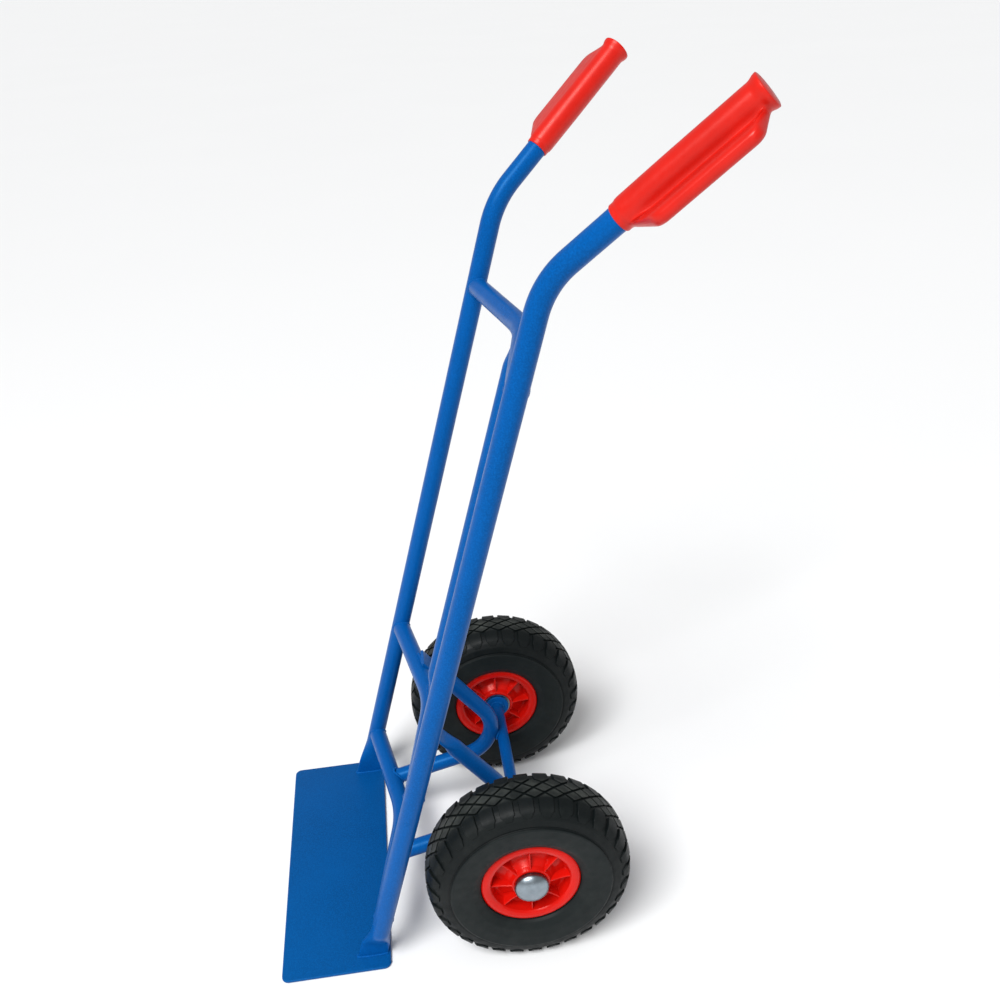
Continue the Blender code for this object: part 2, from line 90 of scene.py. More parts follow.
def unit(vector: Point) -> np.ndarray:
    """The vector at length one."""
    vector = np.asarray(vector, float)
    return vector / np.linalg.norm(vector)


def arc_between(start: np.ndarray, end: np.ndarray, steps: int) -> list[np.ndarray]:
    """Turns one radius into another of the same length.

    Args:
        start: the first radius, from the arc's centre.
        end: the last radius.
        steps: how many equal turns lie between them.

    Returns:
        The radii, both ends included.
    """
    cosine = np.dot(start, end) / (np.linalg.norm(start) * np.linalg.norm(end))
    turn = np.arccos(np.clip(cosine, -1, 1))
    if turn < 1e-6:
        return [start]
    parts = np.linspace(0, 1, steps + 1)
    return [(sin((1 - t) * turn) * start + sin(t * turn) * end) / sin(turn) for t in parts]


def rounded(corners: Sequence[Point], radii: Sequence[float] | float, steps: int = 4,
            closed: bool = False) -> np.ndarray:
    """Rounds the corners of a line, in any number of dimensions.

    Args:
        corners: the sharp corners, in order.
        radii: one radius for all corners, or one for each.
        steps: how many turns each rounded corner takes.
        closed: whether the last corner joins the first.

    Returns:
        The rounded line's points.
    """
    points = [np.asarray(corner, float) for corner in corners]
    if isinstance(radii, (int, float)):
        radii = [radii] * len(points)
    line = []
    for i, corner in enumerate(points):
        if radii[i] <= 0 or (not closed and i in (0, len(points) - 1)):
            line.append(corner)
            continue
        back = points[i - 1] - corner
        on = points[(i + 1) % len(points)] - corner
        half = np.arccos(np.clip(np.dot(unit(back), unit(on)), -1, 1)) / 2
        if half > pi / 2 - 1e-3:
            line.append(corner)
            continue
        room = 0.49 * min(np.linalg.norm(back), np.linalg.norm(on))
        reach = min(radii[i] / tan(half), room)
        centre = corner + unit(unit(back) + unit(on)) * (reach / cos(half))
        start = corner + unit(back) * reach - centre
        end = corner + unit(on) * reach - centre
        line.extend(centre + radius for radius in arc_between(start, end, steps))
    return np.array(line)


def smooth_step(value: float) -> float:
    """Goes from 0 to 1 with no sharp start or stop."""
    value = min(max(value, 0.0), 1.0)
    return value * value * (3 - 2 * value)


def middle_of(node: str) -> np.ndarray:
    """The middle of a solid's box."""
    low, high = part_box(node)
    return (np.array(low) + np.array(high)) / 2


def sizes_of(node: str) -> Range:
    """Half the length along X of a round solid, and its radius."""
    low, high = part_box(node)
    return (high.x - low.x) / 2, (high.z - low.z) / 2


def mirrored(half: np.ndarray, shared: bool = False) -> list[Point]:
    """A profile with its mirror image across x = 0. The last point may be shared by both halves."""
    back = half[-2::-1] if shared else half[::-1]
    return [*half, *((-x, radius) for x, radius in back)]


def link_new(name: str, data: bpy.types.ID) -> bpy.types.Object:
    """Makes an object of the data and links it to the scene."""
    obj = bpy.data.objects.new(name, data)
    bpy.context.scene.collection.objects.link(obj)
    return obj


def make_object(name: str, points: Sequence[Point], faces: Faces, crease: float = 32.0,
                edges: Sequence[tuple[int, int]] = ()) -> bpy.types.Object:
    """Makes a mesh object at the origin, with its faces turned outwards.

    Args:
        name: the object's name.
        points: its vertices, in the truck's frame.
        faces: its faces, as vertex numbers.
        crease: edges sharper than this many degrees stay sharp in the shading.
        edges: loose edges, for a path.

    Returns:
        The object, linked to the scene.
    """
    mesh = bpy.data.meshes.new(name)
    mesh.from_pydata([tuple(map(float, point)) for point in points], list(edges), faces)
    bm = bmesh.new()
    bm.from_mesh(mesh)
    bmesh.ops.recalc_face_normals(bm, faces=bm.faces)
    bm.to_mesh(mesh)
    bm.free()
    mesh.shade_smooth()
    mesh.set_sharp_from_angle(angle=radians(crease))
    return link_new(name, mesh)


def loft(rings: Sequence[np.ndarray]) -> Shape:
    """Joins closed rings of points. A ring of one point closes an end, and other ends get a flat face.

    Args:
        rings: the rings, all of one count or of a single point.

    Returns:
        The points and the faces.
    """
    points: list[np.ndarray] = []
    numbers: list[list[int]] = []
    for ring in rings:
        numbers.append(list(range(len(points), len(points) + len(ring))))
        points.extend(ring)
    faces: Faces = []
    for low, high in zip(numbers[:-1], numbers[1:]):
        count = max(len(low), len(high))
        for i in range(count):
            j = (i + 1) % count
            if len(low) == 1:
                faces.append((low[0], high[j], high[i]))
            elif len(high) == 1:
                faces.append((low[i], low[j], high[0]))
            else:
                faces.append((low[i], low[j], high[j], high[i]))
    for ring in (numbers[0], numbers[-1]):
        if len(ring) > 2:
            faces.append(tuple(ring))
    return points, faces


def merged(shapes: Sequence[Shape]) -> Shape:
    """Puts several shapes into one."""
    points: list[np.ndarray] = []
    faces: Faces = []
    for more_points, more_faces in shapes:
        faces.extend(tuple(number + len(points) for number in face) for face in more_faces)
        points.extend(more_points)
    return points, faces


def turned(profile: Sequence[Point], segments: int, centre: Point, closed: bool = False) -> Shape:
    """Turns a profile about the X axis.

    Args:
        profile: (x, radius) points. An open profile starts and ends on the axis.
        segments: how many sides the turned shape has.
        centre: the point of the axis that x is counted from.
        closed: whether the profile is the closed section of a ring.

    Returns:
        The points and the faces.
    """
    angles = np.linspace(0, 2 * pi, segments, endpoint=False)
    rings = []
    for x, radius in profile:
        if radius < 1e-6:
            rings.append(np.array([(x, 0, 0)]) + centre)
            continue
        ring = np.stack([np.full(segments, x), radius * np.cos(angles), radius * np.sin(angles)], 1)
        rings.append(ring + centre)
    if not closed:
        return loft(rings)
    points, faces = loft([*rings, rings[0]])
    count = len(rings) * segments
    faces = [tuple(number % count for number in face) for face in faces[:-2]]
    return points[:count], faces


# Node trees


class Nodes:
    """The nodes of one tree: a material's, or one of Geometry Nodes."""

    def __init__(self, tree: bpy.types.NodeTree) -> None:
        """Takes the tree to fill."""
        self.tree = tree

    def add(self, kind: str, settings: dict[str, object] | None = None,
            sockets: dict[str | int, object] | None = None) -> bpy.types.Node:
        """Adds a node.

        Args:
            kind: its Blender type.
            settings: its own properties.
            sockets: for each input, a socket to link or a value to set.

        Returns:
            The node.
        """
        node = self.tree.nodes.new(kind)
        for name, value in (settings or {}).items():
            setattr(node, name, value)
        for name, value in (sockets or {}).items():
            if isinstance(value, Socket):
                self.tree.links.new(value, node.inputs[name])
            else:
                node.inputs[name].default_value = value
        return node

    def worked_out(self, operation: str, first: Socket | float, second: Socket | float) -> Socket:
        """Two values combined by one arithmetic operation."""
        return self.add("ShaderNodeMath", {"operation": operation}, {0: first, 1: second}).outputs[0]


# Finishes


@dataclass(frozen=True)
class Clouds:
    """A cloudy pattern: its clouds to the metre, its detail, and the span of its values that counts."""

    scale: float
    detail: float = 2.0
    rough: float = 0.5
    span: Range = (0.3, 0.7)


class ShaderTree(Nodes):
    """One material's nodes. Every pattern is read from Object coordinates."""

    def __init__(self, name: str) -> None:
        """Makes the material with its principled shader and its coordinates."""
        self.material = bpy.data.materials.new(name)
        self.material.use_nodes = True
        super().__init__(self.material.node_tree)
        self.shader = self.tree.nodes["Principled BSDF"]
        self.place = self.add("ShaderNodeTexCoord").outputs["Object"]

    def stretched(self, scale: Point, turn: Point) -> Socket:
        """Object coordinates scaled and turned, for a pattern with a direction."""
        sockets = {"Vector": self.place, "Scale": scale, "Rotation": turn}
        return self.add("ShaderNodeMapping", sockets=sockets).outputs["Vector"]

    def noise(self, clouds: Clouds, vector: Socket | None = None) -> Socket:
        """The cloudy pattern, from 0 to 1."""
        sockets = {"Scale": clouds.scale, "Detail": clouds.detail, "Roughness": clouds.rough,
                   "Vector": vector or self.place}
        return self.add("ShaderNodeTexNoise", sockets=sockets).outputs["Fac"]

    def cells(self, scale: float) -> Socket:
        """The distance from the middle of random cells, with this many to the metre."""
        sockets = {"Scale": scale, "Vector": self.place}
        return self.add("ShaderNodeTexVoronoi", sockets=sockets).outputs["Distance"]

    def ranged(self, value: Socket, start: Range, end: Range) -> Socket:
        """Maps a value from one range to another, and holds it inside that."""
        sockets = dict(zip(("From Min", "From Max", "To Min", "To Max"), (*start, *end)))
        return self.add("ShaderNodeMapRange", sockets={**sockets, "Value": value}).outputs["Result"]

    def spread(self, clouds: Clouds, end: Range = (0, 1), vector: Socket | None = None) -> Socket:
        """The cloudy pattern, with its span mapped to a range."""
        return self.ranged(self.noise(clouds, vector), clouds.span, end)

    def mixed(self, part: Socket, first: Point | Socket, second: Point) -> Socket:
        """A colour between two. The first may be another node's colour."""
        start = first if isinstance(first, Socket) else (*first, 1)
        sockets = {"Factor": part, 6: start, 7: (*second, 1)}
        return self.add("ShaderNodeMix", {"data_type": "RGBA"}, sockets).outputs[2]

    def varied(self, part: Socket, colour: Colour, tones: Range) -> Socket:
        """The colour, between a darker and a lighter tone of it."""
        return self.mixed(part, *(shade(colour, tone) for tone in tones))

    def bump(self, clouds: Clouds | Socket, depth: float, under: Socket | None = None) -> Socket:
        """A relief of this many metres, on top of another if one is given."""
        height = self.noise(clouds) if isinstance(clouds, Clouds) else clouds
        sockets = {"Distance": depth, "Strength": 1.0, "Height": height}
        if under:
            sockets["Normal"] = under
        return self.add("ShaderNodeBump", sockets=sockets).outputs["Normal"]

    def finished(self, **sockets: object) -> bpy.types.Material:
        """Sets or links the shader's sockets, named with _ for a space, and gives the material."""
        for name, value in sockets.items():
            socket = self.shader.inputs[name.replace("_", " ")]
            if isinstance(value, Socket):
                self.tree.links.new(value, socket)
            else:
                socket.default_value = value
        return self.material


def shade(colour: Colour, factor: float) -> tuple[float, ...]:
    """The colour made lighter or darker."""
    return tuple(min(part * factor, 1.0) for part in colour)


@dataclass(frozen=True)
class PowderCoat:
    """Semi-gloss powder coat with a fine orange peel and pale speckles, and faint scuffs if worn."""

    name: str
    colour: Colour
    tones: Range = (0.90, 1.08)
    clouds: Clouds = Clouds(9, 3)
    speckle: Clouds = Clouds(560, 3, 0.7, (0.42, 0.66))
    speckle_tone: float = 1.32
    gloss: Range = (0.27, 0.38)
    gloss_clouds: Clouds = Clouds(55, 4)
    shine: float = 0.22
    shine_tint: tuple[float, ...] = (0.16, 0.56, 1.0, 1.0)
    peel: Clouds = Clouds(620)
    peel_depth: float = 0.00005
    scuffs: float = 0.0
    scuff_tone: float = 1.9
    streaks: Clouds = Clouds(1, 5, 0.7, (0.60, 0.72))
    streak_scale: tuple[float, float, float] = (260, 16, 60)
    streak_turn: float = radians(4)

    def material(self) -> bpy.types.Material:
        """Builds the material."""
        tree = ShaderTree(self.name)
        tone = tree.varied(tree.spread(self.clouds), self.colour, self.tones)
        tone = tree.mixed(tree.spread(self.speckle), tone, shade(self.colour, self.speckle_tone))
        rough = tree.spread(self.gloss_clouds, self.gloss)
        if self.scuffs:
            place = tree.stretched(self.streak_scale, (0, 0, self.streak_turn))
            worn = tree.spread(self.streaks, (0, self.scuffs), place)
            rough = tree.worked_out("ADD", rough, worn)
            tone = tree.mixed(worn, tone, shade(self.colour, self.scuff_tone))
        peel = tree.bump(self.peel, self.peel_depth)
        return tree.finished(Base_Color=tone, Roughness=rough, Normal=peel,
                             Specular_IOR_Level=self.shine, Specular_Tint=self.shine_tint)


@dataclass(frozen=True)
class MouldedPlastic:
    """Glossy injection-moulded plastic, with flow marks and a faint grain."""

    name: str
    colour: Colour
    tones: Range = (0.90, 1.06)
    clouds: Clouds = Clouds(26, 3)
    gloss: Range = (0.20, 0.32)
    gloss_clouds: Clouds = Clouds(140, 4)
    shine: float = 0.34
    shine_tint: tuple[float, ...] = (1.0, 0.46, 0.42, 1.0)
    flow: Clouds = Clouds(38, 1)
    flow_depth: float = 0.00012
    grain: Clouds = Clouds(2600)
    grain_depth: float = 0.000012

    def material(self) -> bpy.types.Material:
        """Builds the material."""
        tree = ShaderTree(self.name)
        tone = tree.varied(tree.spread(self.clouds), self.colour, self.tones)
        rough = tree.spread(self.gloss_clouds, self.gloss)
        grain = tree.bump(self.grain, self.grain_depth, tree.bump(self.flow, self.flow_depth))
        return tree.finished(Base_Color=tone, Roughness=rough, Normal=grain,
                             Specular_IOR_Level=self.shine, Specular_Tint=self.shine_tint)


@dataclass(frozen=True)
class Rubber:
    """Matt moulded rubber with a fine grain: greyer inside the sidewall's ring, paler on the crown with
    dust and a painted highlight of the block tops catching light.
    """

    name: str
    colour: Colour
    sidewall: Colour
    dust: Colour
    axis: tuple[float, ...]
    ring_edge: float = 0.1010
    ring_blur: float = 0.0006
    crown: Range = (0.1286, 0.1299)
    crown_dust: float = 0.8
    dust_clouds: Clouds = Clouds(42, 5, 0.65, (0.35, 0.70))
    least_dust: float = 0.15
    smears: Clouds = Clouds(24, 6, 0.7, (0.50, 0.78))
    most_smear: float = 0.10
    gloss: Range = (0.42, 0.62)
    gloss_clouds: Clouds = Clouds(90, 4)
    shine: float = 0.17
    grain: tuple[Clouds, Clouds] = (Clouds(900, 3), Clouds(2800))
    grain_depth: float = 0.00005

    def radius(self, tree: ShaderTree) -> Socket:
        """The distance from the wheels' axis."""
        found = tree.place
        for operation, vector in (("SUBTRACT", self.axis), ("MULTIPLY", (0, 1, 1))):
            step = tree.add("ShaderNodeVectorMath", {"operation": operation}, {0: found, 1: vector})
            found = step.outputs[0]
        length = tree.add("ShaderNodeVectorMath", {"operation": "LENGTH"}, {0: found})
        return length.outputs["Value"]

    def material(self) -> bpy.types.Material:
        """Builds the material."""
        tree = ShaderTree(self.name)
        radius = self.radius(tree)
        ring = (self.ring_edge - self.ring_blur, self.ring_edge + self.ring_blur)
        tone = tree.mixed(tree.ranged(radius, ring, (1, 0)), self.colour, self.sidewall)
        # Paler towards the crown's outermost radius: partly real dust, partly a painted highlight of the
        # block tops catching light.
        crown = tree.ranged(radius, self.crown, (0, self.crown_dust))
        worn = tree.worked_out("MULTIPLY", crown, tree.spread(self.dust_clouds, (self.least_dust, 1)))
        # The pale colour serves both the crown's dust and painted highlight and the real dirt of the
        # smears.
        for dust_and_highlight_part in (worn, tree.spread(self.smears, (0, self.most_smear))):
            tone = tree.mixed(dust_and_highlight_part, tone, self.dust)
        grain = tree.worked_out("ADD", *(tree.noise(layer) for layer in self.grain))
        return tree.finished(Base_Color=tone, Roughness=tree.spread(self.gloss_clouds, self.gloss),
                             Normal=tree.bump(grain, self.grain_depth),
                             Specular_IOR_Level=self.shine)


@dataclass(frozen=True)
class PlatedSteel:
    """Steel with a thin plated or ground surface, cloudy and slightly uneven."""

    name: str
    colour: Colour
    tones: Range = (0.86, 1.08)
    clouds: Clouds = Clouds(120, 4)
    gloss: Range = (0.22, 0.36)
    crystals: float = 420
    mottle: Clouds = Clouds(300, span=(0.4, 1.2))
    dents: Clouds = Clouds(75)
    dent_depth: float = 0.00010
    grain: Clouds = Clouds(1800)
    grain_depth: float = 0.00001

    def material(self) -> bpy.types.Material:
        """Builds the material."""
        tree = ShaderTree(self.name)
        tone = tree.varied(tree.spread(self.clouds), self.colour, self.tones)
        cells = tree.worked_out("ADD", tree.cells(self.crystals), tree.noise(self.mottle))
        grain = tree.bump(self.grain, self.grain_depth, tree.bump(self.dents, self.dent_depth))
        return tree.finished(Base_Color=tone, Metallic=1.0, Normal=grain,
                             Roughness=tree.ranged(cells, self.mottle.span, self.gloss))


@dataclass(frozen=True)
class PaleFloor:
    """The studio's matt floor."""

    name: str = "pale_floor"
    colour: Colour = (0.86, 0.865, 0.87)
    tones: Range = (0.99, 1.01)
    clouds: Clouds = Clouds(0.8, 3)
    rough: float = 0.75

    def material(self) -> bpy.types.Material:
        """Builds the material."""
        tree = ShaderTree(self.name)
        tone = tree.varied(tree.noise(self.clouds), self.colour, self.tones)
        return tree.finished(Base_Color=tone, Roughness=self.rough)


Finish = PowderCoat | MouldedPlastic | Rubber | PlatedSteel | PaleFloor
AXLE_MIDDLE = tuple((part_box("axle")[0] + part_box("axle")[1]) / 2)
FINISHES: dict[Slot, Finish] = {
    Slot.PAINT: PowderCoat("frame_powder_coat", (0.0009, 0.069, 0.268)),
    Slot.GRIP: MouldedPlastic("grip_plastic", (0.56, 0.010, 0.005), gloss=(0.28, 0.38), shine=0.55),
    Slot.RIM: MouldedPlastic("rim_plastic", (0.56, 0.006, 0.003), gloss=(0.16, 0.26)),
    Slot.TYRE: Rubber("tyre_rubber", (0.0030, 0.0050, 0.0053), (0.0062, 0.0095, 0.0098),
                      (0.062, 0.068, 0.062), axis=AXLE_MIDDLE),
    Slot.ZINC: PlatedSteel("zinc_plating", (0.29, 0.34, 0.38), gloss=(0.26, 0.36)),
    Slot.STEEL: PlatedSteel("ground_bearing_steel", (0.42, 0.43, 0.45), dent_depth=0.00002),
}
# The toe plate's coat is the frame's blue painted darker. This is painted shade that offsets the
# stronger light on the plate's upward face. It has its own gloss and real scuffs.
SHADED_PLATE_COAT = PowderCoat("plate_powder_coat", (0.0012, 0.064, 0.230), gloss=(0.34, 0.46), scuffs=0.08)
MATERIALS: dict[str, bpy.types.Material] = {}


def coat(finish: Finish) -> bpy.types.Material:
    """The finish's material, built when it is first asked for."""
    if finish.name not in MATERIALS:
        MATERIALS[finish.name] = finish.material()
    return MATERIALS[finish.name]


def dress(obj: bpy.types.Object, finish: Finish) -> bpy.types.Object:
    """Gives the object that finish alone."""
    obj.data.materials.clear()
    obj.data.materials.append(coat(finish))
    return obj


def place_piece(obj: bpy.types.Object, nodes: Sequence[str] = (), body: str = "frame"
                ) -> None:
    """Says what a finished piece moves with and the solids it stands for.

    Args:
        obj: the piece, in place.
        nodes: the solids that it replaces.
        body: the body that it moves with.
    """
    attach(obj, body)
    if nodes:
        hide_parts(*nodes)
    LOG.info("%s: %d faces, rides on %s", obj.name, len(obj.data.polygons), body)


def add_piece(name: str, shape: Shape, slot: Slot, node: str, crease: float = 32.0,
              finish: Finish | None = None, body: str = "frame") -> None:
    """Makes, dresses and places a piece that stands for one solid.

    Args:
        name: its name.
        shape: its points and faces.
        slot: the record's slot for its finish.
        node: the solid that it replaces.
        crease: edges sharper than this many degrees stay sharp in the shading.
        finish: its finish, where it isn't the slot's own.
        body: the body that it moves with.
    """
    obj = make_object(name, *shape, crease=crease)
    place_piece(dress(obj, finish or FINISHES[slot]), [node], body)


# Geometry Nodes


class NodeTree(Nodes):
    """A Geometry Nodes tree with named inputs, whose result is kept as a plain mesh."""

    def __init__(self, name: str, **inputs: str) -> None:
        """Makes the tree with a geometry input and output, and its own inputs.

        Args:
            name: the tree's name.
            **inputs: each input's kind, named with _ for a space.
        """
        super().__init__(bpy.data.node_groups.new(name, "GeometryNodeTree"))
        self.identifiers: dict[str, str] = {}
        for label, kind in {"Geometry": "Geometry", **inputs}.items():
            socket = self.tree.interface.new_socket(
                label.replace("_", " "), in_out="INPUT", socket_type=f"NodeSocket{kind}")
            self.identifiers[label] = socket.identifier
        self.tree.interface.new_socket("Geometry", in_out="OUTPUT", socket_type="NodeSocketGeometry")
        self.entry = self.add("NodeGroupInput")
        self.exit = self.add("NodeGroupOutput")

    def given(self, name: str) -> Socket:
        """The socket that carries one of the tree's inputs."""
        return self.entry.outputs[name]

    def turned_copies(self, instance: Socket) -> Socket:
        """Copies of a shape at equal turns about an axis along X, by the inputs Count and Centre.

        Args:
            instance: the shape, with the axis through its origin.

        Returns:
            The copies, as real geometry.
        """
        count = self.given("Count")
        line = self.add("GeometryNodeMeshLine", sockets={
            "Count": count, "Start Location": self.given("Centre"), "Offset": (0, 0, 0)})
        step = self.worked_out("DIVIDE", 2 * pi, count)
        turn = self.worked_out("MULTIPLY", self.add("GeometryNodeInputIndex").outputs[0], step)
        angles = self.add("ShaderNodeCombineXYZ", sockets={"X": turn})
        rotation = self.add("FunctionNodeEulerToRotation", sockets={0: angles.outputs[0]})
        copies = self.add("GeometryNodeInstanceOnPoints", sockets={
            "Points": line.outputs[0], "Instance": instance, "Rotation": rotation.outputs[0]})
        return self.real(copies.outputs[0])

    def balls(self, sides: tuple[int, int], least: Point, most: Point, **sockets: Socket) -> Socket:
        """Balls of uneven size on points, by the inputs Ball Radius and Seed.

        Args:
            sides: a ball's segments and rings.
            least: the smallest scale along each axis.
            most: the largest.
            **sockets: the points, and the balls' rotation where they have one.

        Returns:
            The balls, as instances.
        """
        ball = self.add("GeometryNodeMeshUVSphere", sockets={
            "Segments": sides[0], "Rings": sides[1], "Radius": self.given("Ball Radius")})
        uneven = self.add("FunctionNodeRandomValue", {"data_type": "FLOAT_VECTOR"}, {
            0: least, 1: most, "Seed": self.given("Seed")})
        return self.add("GeometryNodeInstanceOnPoints", sockets={
            **sockets, "Instance": ball.outputs[0], "Scale": uneven.outputs[0]}).outputs[0]

    def joined(self, *sources: Socket) -> Socket:
        """Several geometries as one."""
        node = self.add("GeometryNodeJoinGeometry")
        for source in sources:
            self.tree.links.new(source, node.inputs[0])
        return node.outputs[0]

    def real(self, geometry: Socket) -> Socket:
        """The geometry with its instances made real."""
        return self.add("GeometryNodeRealizeInstances", sockets={0: geometry}).outputs[0]

    def soft(self, geometry: Socket) -> Socket:
        """The geometry with smooth shading."""
        sockets = {0: geometry, "Shade Smooth": True}
        return self.add("GeometryNodeSetShadeSmooth", sockets=sockets).outputs[0]

    def close(self, geometry: Socket) -> None:
        """Ends the tree in real geometry with the input Finish as its material."""
        painted = self.add("GeometryNodeSetMaterial", sockets={
            "Geometry": self.real(geometry), "Material": self.given("Finish")})
        self.tree.links.new(painted.outputs[0], self.exit.inputs[0])

    def keep(self, obj: bpy.types.Object, slot: Slot, **values: object) -> bpy.types.Object:
        """Runs the tree on an object and keeps the result as its mesh.

        Args:
            obj: the object.
            slot: the slot whose finish it takes.
            **values: the inputs, named with _ for a space.

        Returns:
            The same object, with a plain mesh and no modifier.
        """
        modifier = obj.modifiers.new(self.tree.name, "NODES")
        modifier.node_group = self.tree
        for name, value in {**values, "Finish": coat(FINISHES[slot])}.items():
            modifier[self.identifiers[name]] = value
        graph = bpy.context.evaluated_depsgraph_get()
        mesh = bpy.data.meshes.new_from_object(obj.evaluated_get(graph))
        obj.modifiers.clear()
        obj.data = mesh
        mesh.name = obj.name
        return obj


def repeat_tree() -> NodeTree:
    """A tree that adds turned copies of a second shape, such as ribs or tread blocks, to the first."""
    tree = NodeTree("turned_copies", Shape="Object", Count="Int", Centre="Vector", Finish="Material")
    shape = tree.add("GeometryNodeObjectInfo", sockets={"Object": tree.given("Shape")})
    copies = tree.turned_copies(shape.outputs["Geometry"])
    tree.close(tree.joined(copies, tree.given("Geometry")))
    return tree


def bead_tree() -> NodeTree:
    """A tree that lays a weld bead along paths: overlapping flattened balls on a smooth core."""
    sides, least, most = (12, 7), (0.88, 0.88, 0.50), (1.10, 1.10, 0.62)
    core_sides, core_share = 10, 0.86
    tree = NodeTree("weld_bead", Ball_Radius="Float", Pitch="Float", Seed="Int", Finish="Material")
    path = tree.add("GeometryNodeMeshToCurve", sockets={0: tree.given("Geometry")}).outputs[0]
    steps = tree.add("GeometryNodeCurveToPoints", {"mode": "LENGTH"}, {
        "Curve": path, "Length": tree.given("Pitch")})
    ripples = tree.balls(sides, least, most, Points=steps.outputs[0],
                         Rotation=steps.outputs["Rotation"])
    thin = tree.worked_out("MULTIPLY", tree.given("Ball Radius"), core_share)
    ring = tree.add("GeometryNodeCurvePrimitiveCircle", sockets={
        "Resolution": core_sides, "Radius": thin})
    core = tree.add("GeometryNodeCurveToMesh", sockets={
        "Curve": path, "Profile Curve": ring.outputs[0], "Fill Caps": True})
    tree.close(tree.soft(tree.real(tree.joined(ripples, core.outputs[0]))))
    return tree


def spatter_tree() -> NodeTree:
    """A tree that sets a small uneven ball on every point."""
    sides, least, most = (10, 6), (0.5, 0.5, 0.4), (1.2, 1.2, 0.9)
    tree = NodeTree("weld_spatter", Ball_Radius="Float", Seed="Int", Finish="Material")
    tree.close(tree.soft(tree.balls(sides, least, most, Points=tree.given("Geometry"))))
    return tree


# Tubes


@dataclass(frozen=True)
class PressedEnd:
    """A tube's end pressed flat: fully flat for a length, then opening to the round tube."""

    flat: float
    opening: float
    half_thickness: float
    wide_along_reference: bool
    shift: float = 0.0
    flat_rings: int = 3
    opening_rings: int = 12

    def amount(self, distance: float) -> float:
        """How far the tube is pressed, from 0 to 1, at this distance from its end."""
        return 1 - smooth_step((distance - self.flat) / self.opening)

    def stations(self) -> list[float]:
        """The distances from the end at which the tube needs a ring."""
        return [self.flat * i / self.flat_rings for i in range(1, self.flat_rings)] + [
            self.flat + self.opening * i / self.opening_rings for i in range(self.opening_rings + 1)]


@dataclass
class Tube:
    """A round tube along a path, with ends that may be pressed flat."""

    path: np.ndarray
    radius: float
    reference: np.ndarray
    start: PressedEnd | None = None
    end: PressedEnd | None = None
    sides: int = 40
    wall: float = 0.002
    neutral_layer: float = 0.3
    squareness: float = 0.4

    def stations(self) -> list[tuple[float, np.ndarray]]:
        """The distance along the tube and the point of each ring."""
        legs = np.linalg.norm(np.diff(self.path, axis=0), axis=1)
        marks = np.concatenate([[0], np.cumsum(legs)])
        total = marks[-1]
        extra = self.start.stations() if self.start else []
        extra += [total - distance for distance in self.end.stations()] if self.end else []
        kept = sorted({round(float(mark), 5) for mark in (*marks, *extra)})
        columns = [np.interp(kept, marks, self.path[:, axis]) for axis in range(3)]
        return list(zip(kept, np.stack(columns, 1)))

    def pressed_point(self, press: PressedEnd, across: float, over: float) -> tuple[float, float]:
        """One point of the flat section, along the reference and square to it."""
        half_width = pi * (self.radius - self.neutral_layer * self.wall) / 2
        wide, thin = (across, over) if press.wide_along_reference else (over, across)
        squared = abs(thin) ** self.squareness * np.sign(thin)
        if press.wide_along_reference:
            return wide * half_width + press.shift, press.half_thickness * squared
        return press.half_thickness * squared + press.shift, wide * half_width

    def ring(self, centre: np.ndarray, direction: np.ndarray, distance: float, total: float
             ) -> np.ndarray:
        """The ring of points at one station.

        Args:
            centre: the path's point there.
            direction: the path's direction there.
            distance: how far it is along the tube.
            total: the tube's length.

        Returns:
            The ring's points.
        """
        press, amount = self.start, self.start.amount(distance) if self.start else 0.0
        if self.end and self.end.amount(total - distance) > 0:
            press, amount = self.end, self.end.amount(total - distance)
        wide = unit(self.reference - direction * np.dot(self.reference, direction))
        thin = np.cross(direction, wide)
        ring = []
        for angle in np.linspace(0, 2 * pi, self.sides, endpoint=False):
            across, over = cos(angle), sin(angle)
            u, v = across * self.radius, over * self.radius
            if amount > 0:
                flat_u, flat_v = self.pressed_point(press, across, over)
                u, v = u + (flat_u - u) * amount, v + (flat_v - v) * amount
            ring.append(centre + wide * u + thin * v)
        return np.array(ring)

    def rings(self) -> list[np.ndarray]:
        """All the rings, from the tube's start to its end."""
        stations = self.stations()
        points = [point for _, point in stations]
        runs = [unit(b - a) for a, b in zip(points[:-1], points[1:])]
        middles = [unit(a + b) for a, b in zip(runs[:-1], runs[1:])]
        total = stations[-1][0]
        return [self.ring(point, direction, distance, total)
                for (distance, point), direction in zip(stations, [runs[0], *middles, runs[-1]])]


@dataclass(frozen=True)
class Rod:
    """A round bar's surface, which a joint's weld path lies on."""

    point: np.ndarray
    direction: np.ndarray
    radius: float

    def met_by(self, ring: np.ndarray, travel: np.ndarray) -> np.ndarray:
        """Where lines from a ring's points first meet this bar.

        Args:
            ring: the points.
            travel: the direction of the lines.

        Returns:
            One point on the bar for each, or the nearest one to it for a line that passes by.
        """
        axis = unit(self.direction)
        travel = unit(travel)
        square = travel - axis * np.dot(travel, axis)
        found = []
        for point in ring:
            offset = point - self.point
            offset = offset - axis * np.dot(offset, axis)
            a, b = np.dot(square, square), np.dot(square, offset)
            c = np.dot(offset, offset) - self.radius ** 2
            root = sqrt(max(b * b - a * c, 0.0))
            found.append(point + travel * ((-b - root) / a))
        return np.array(found)


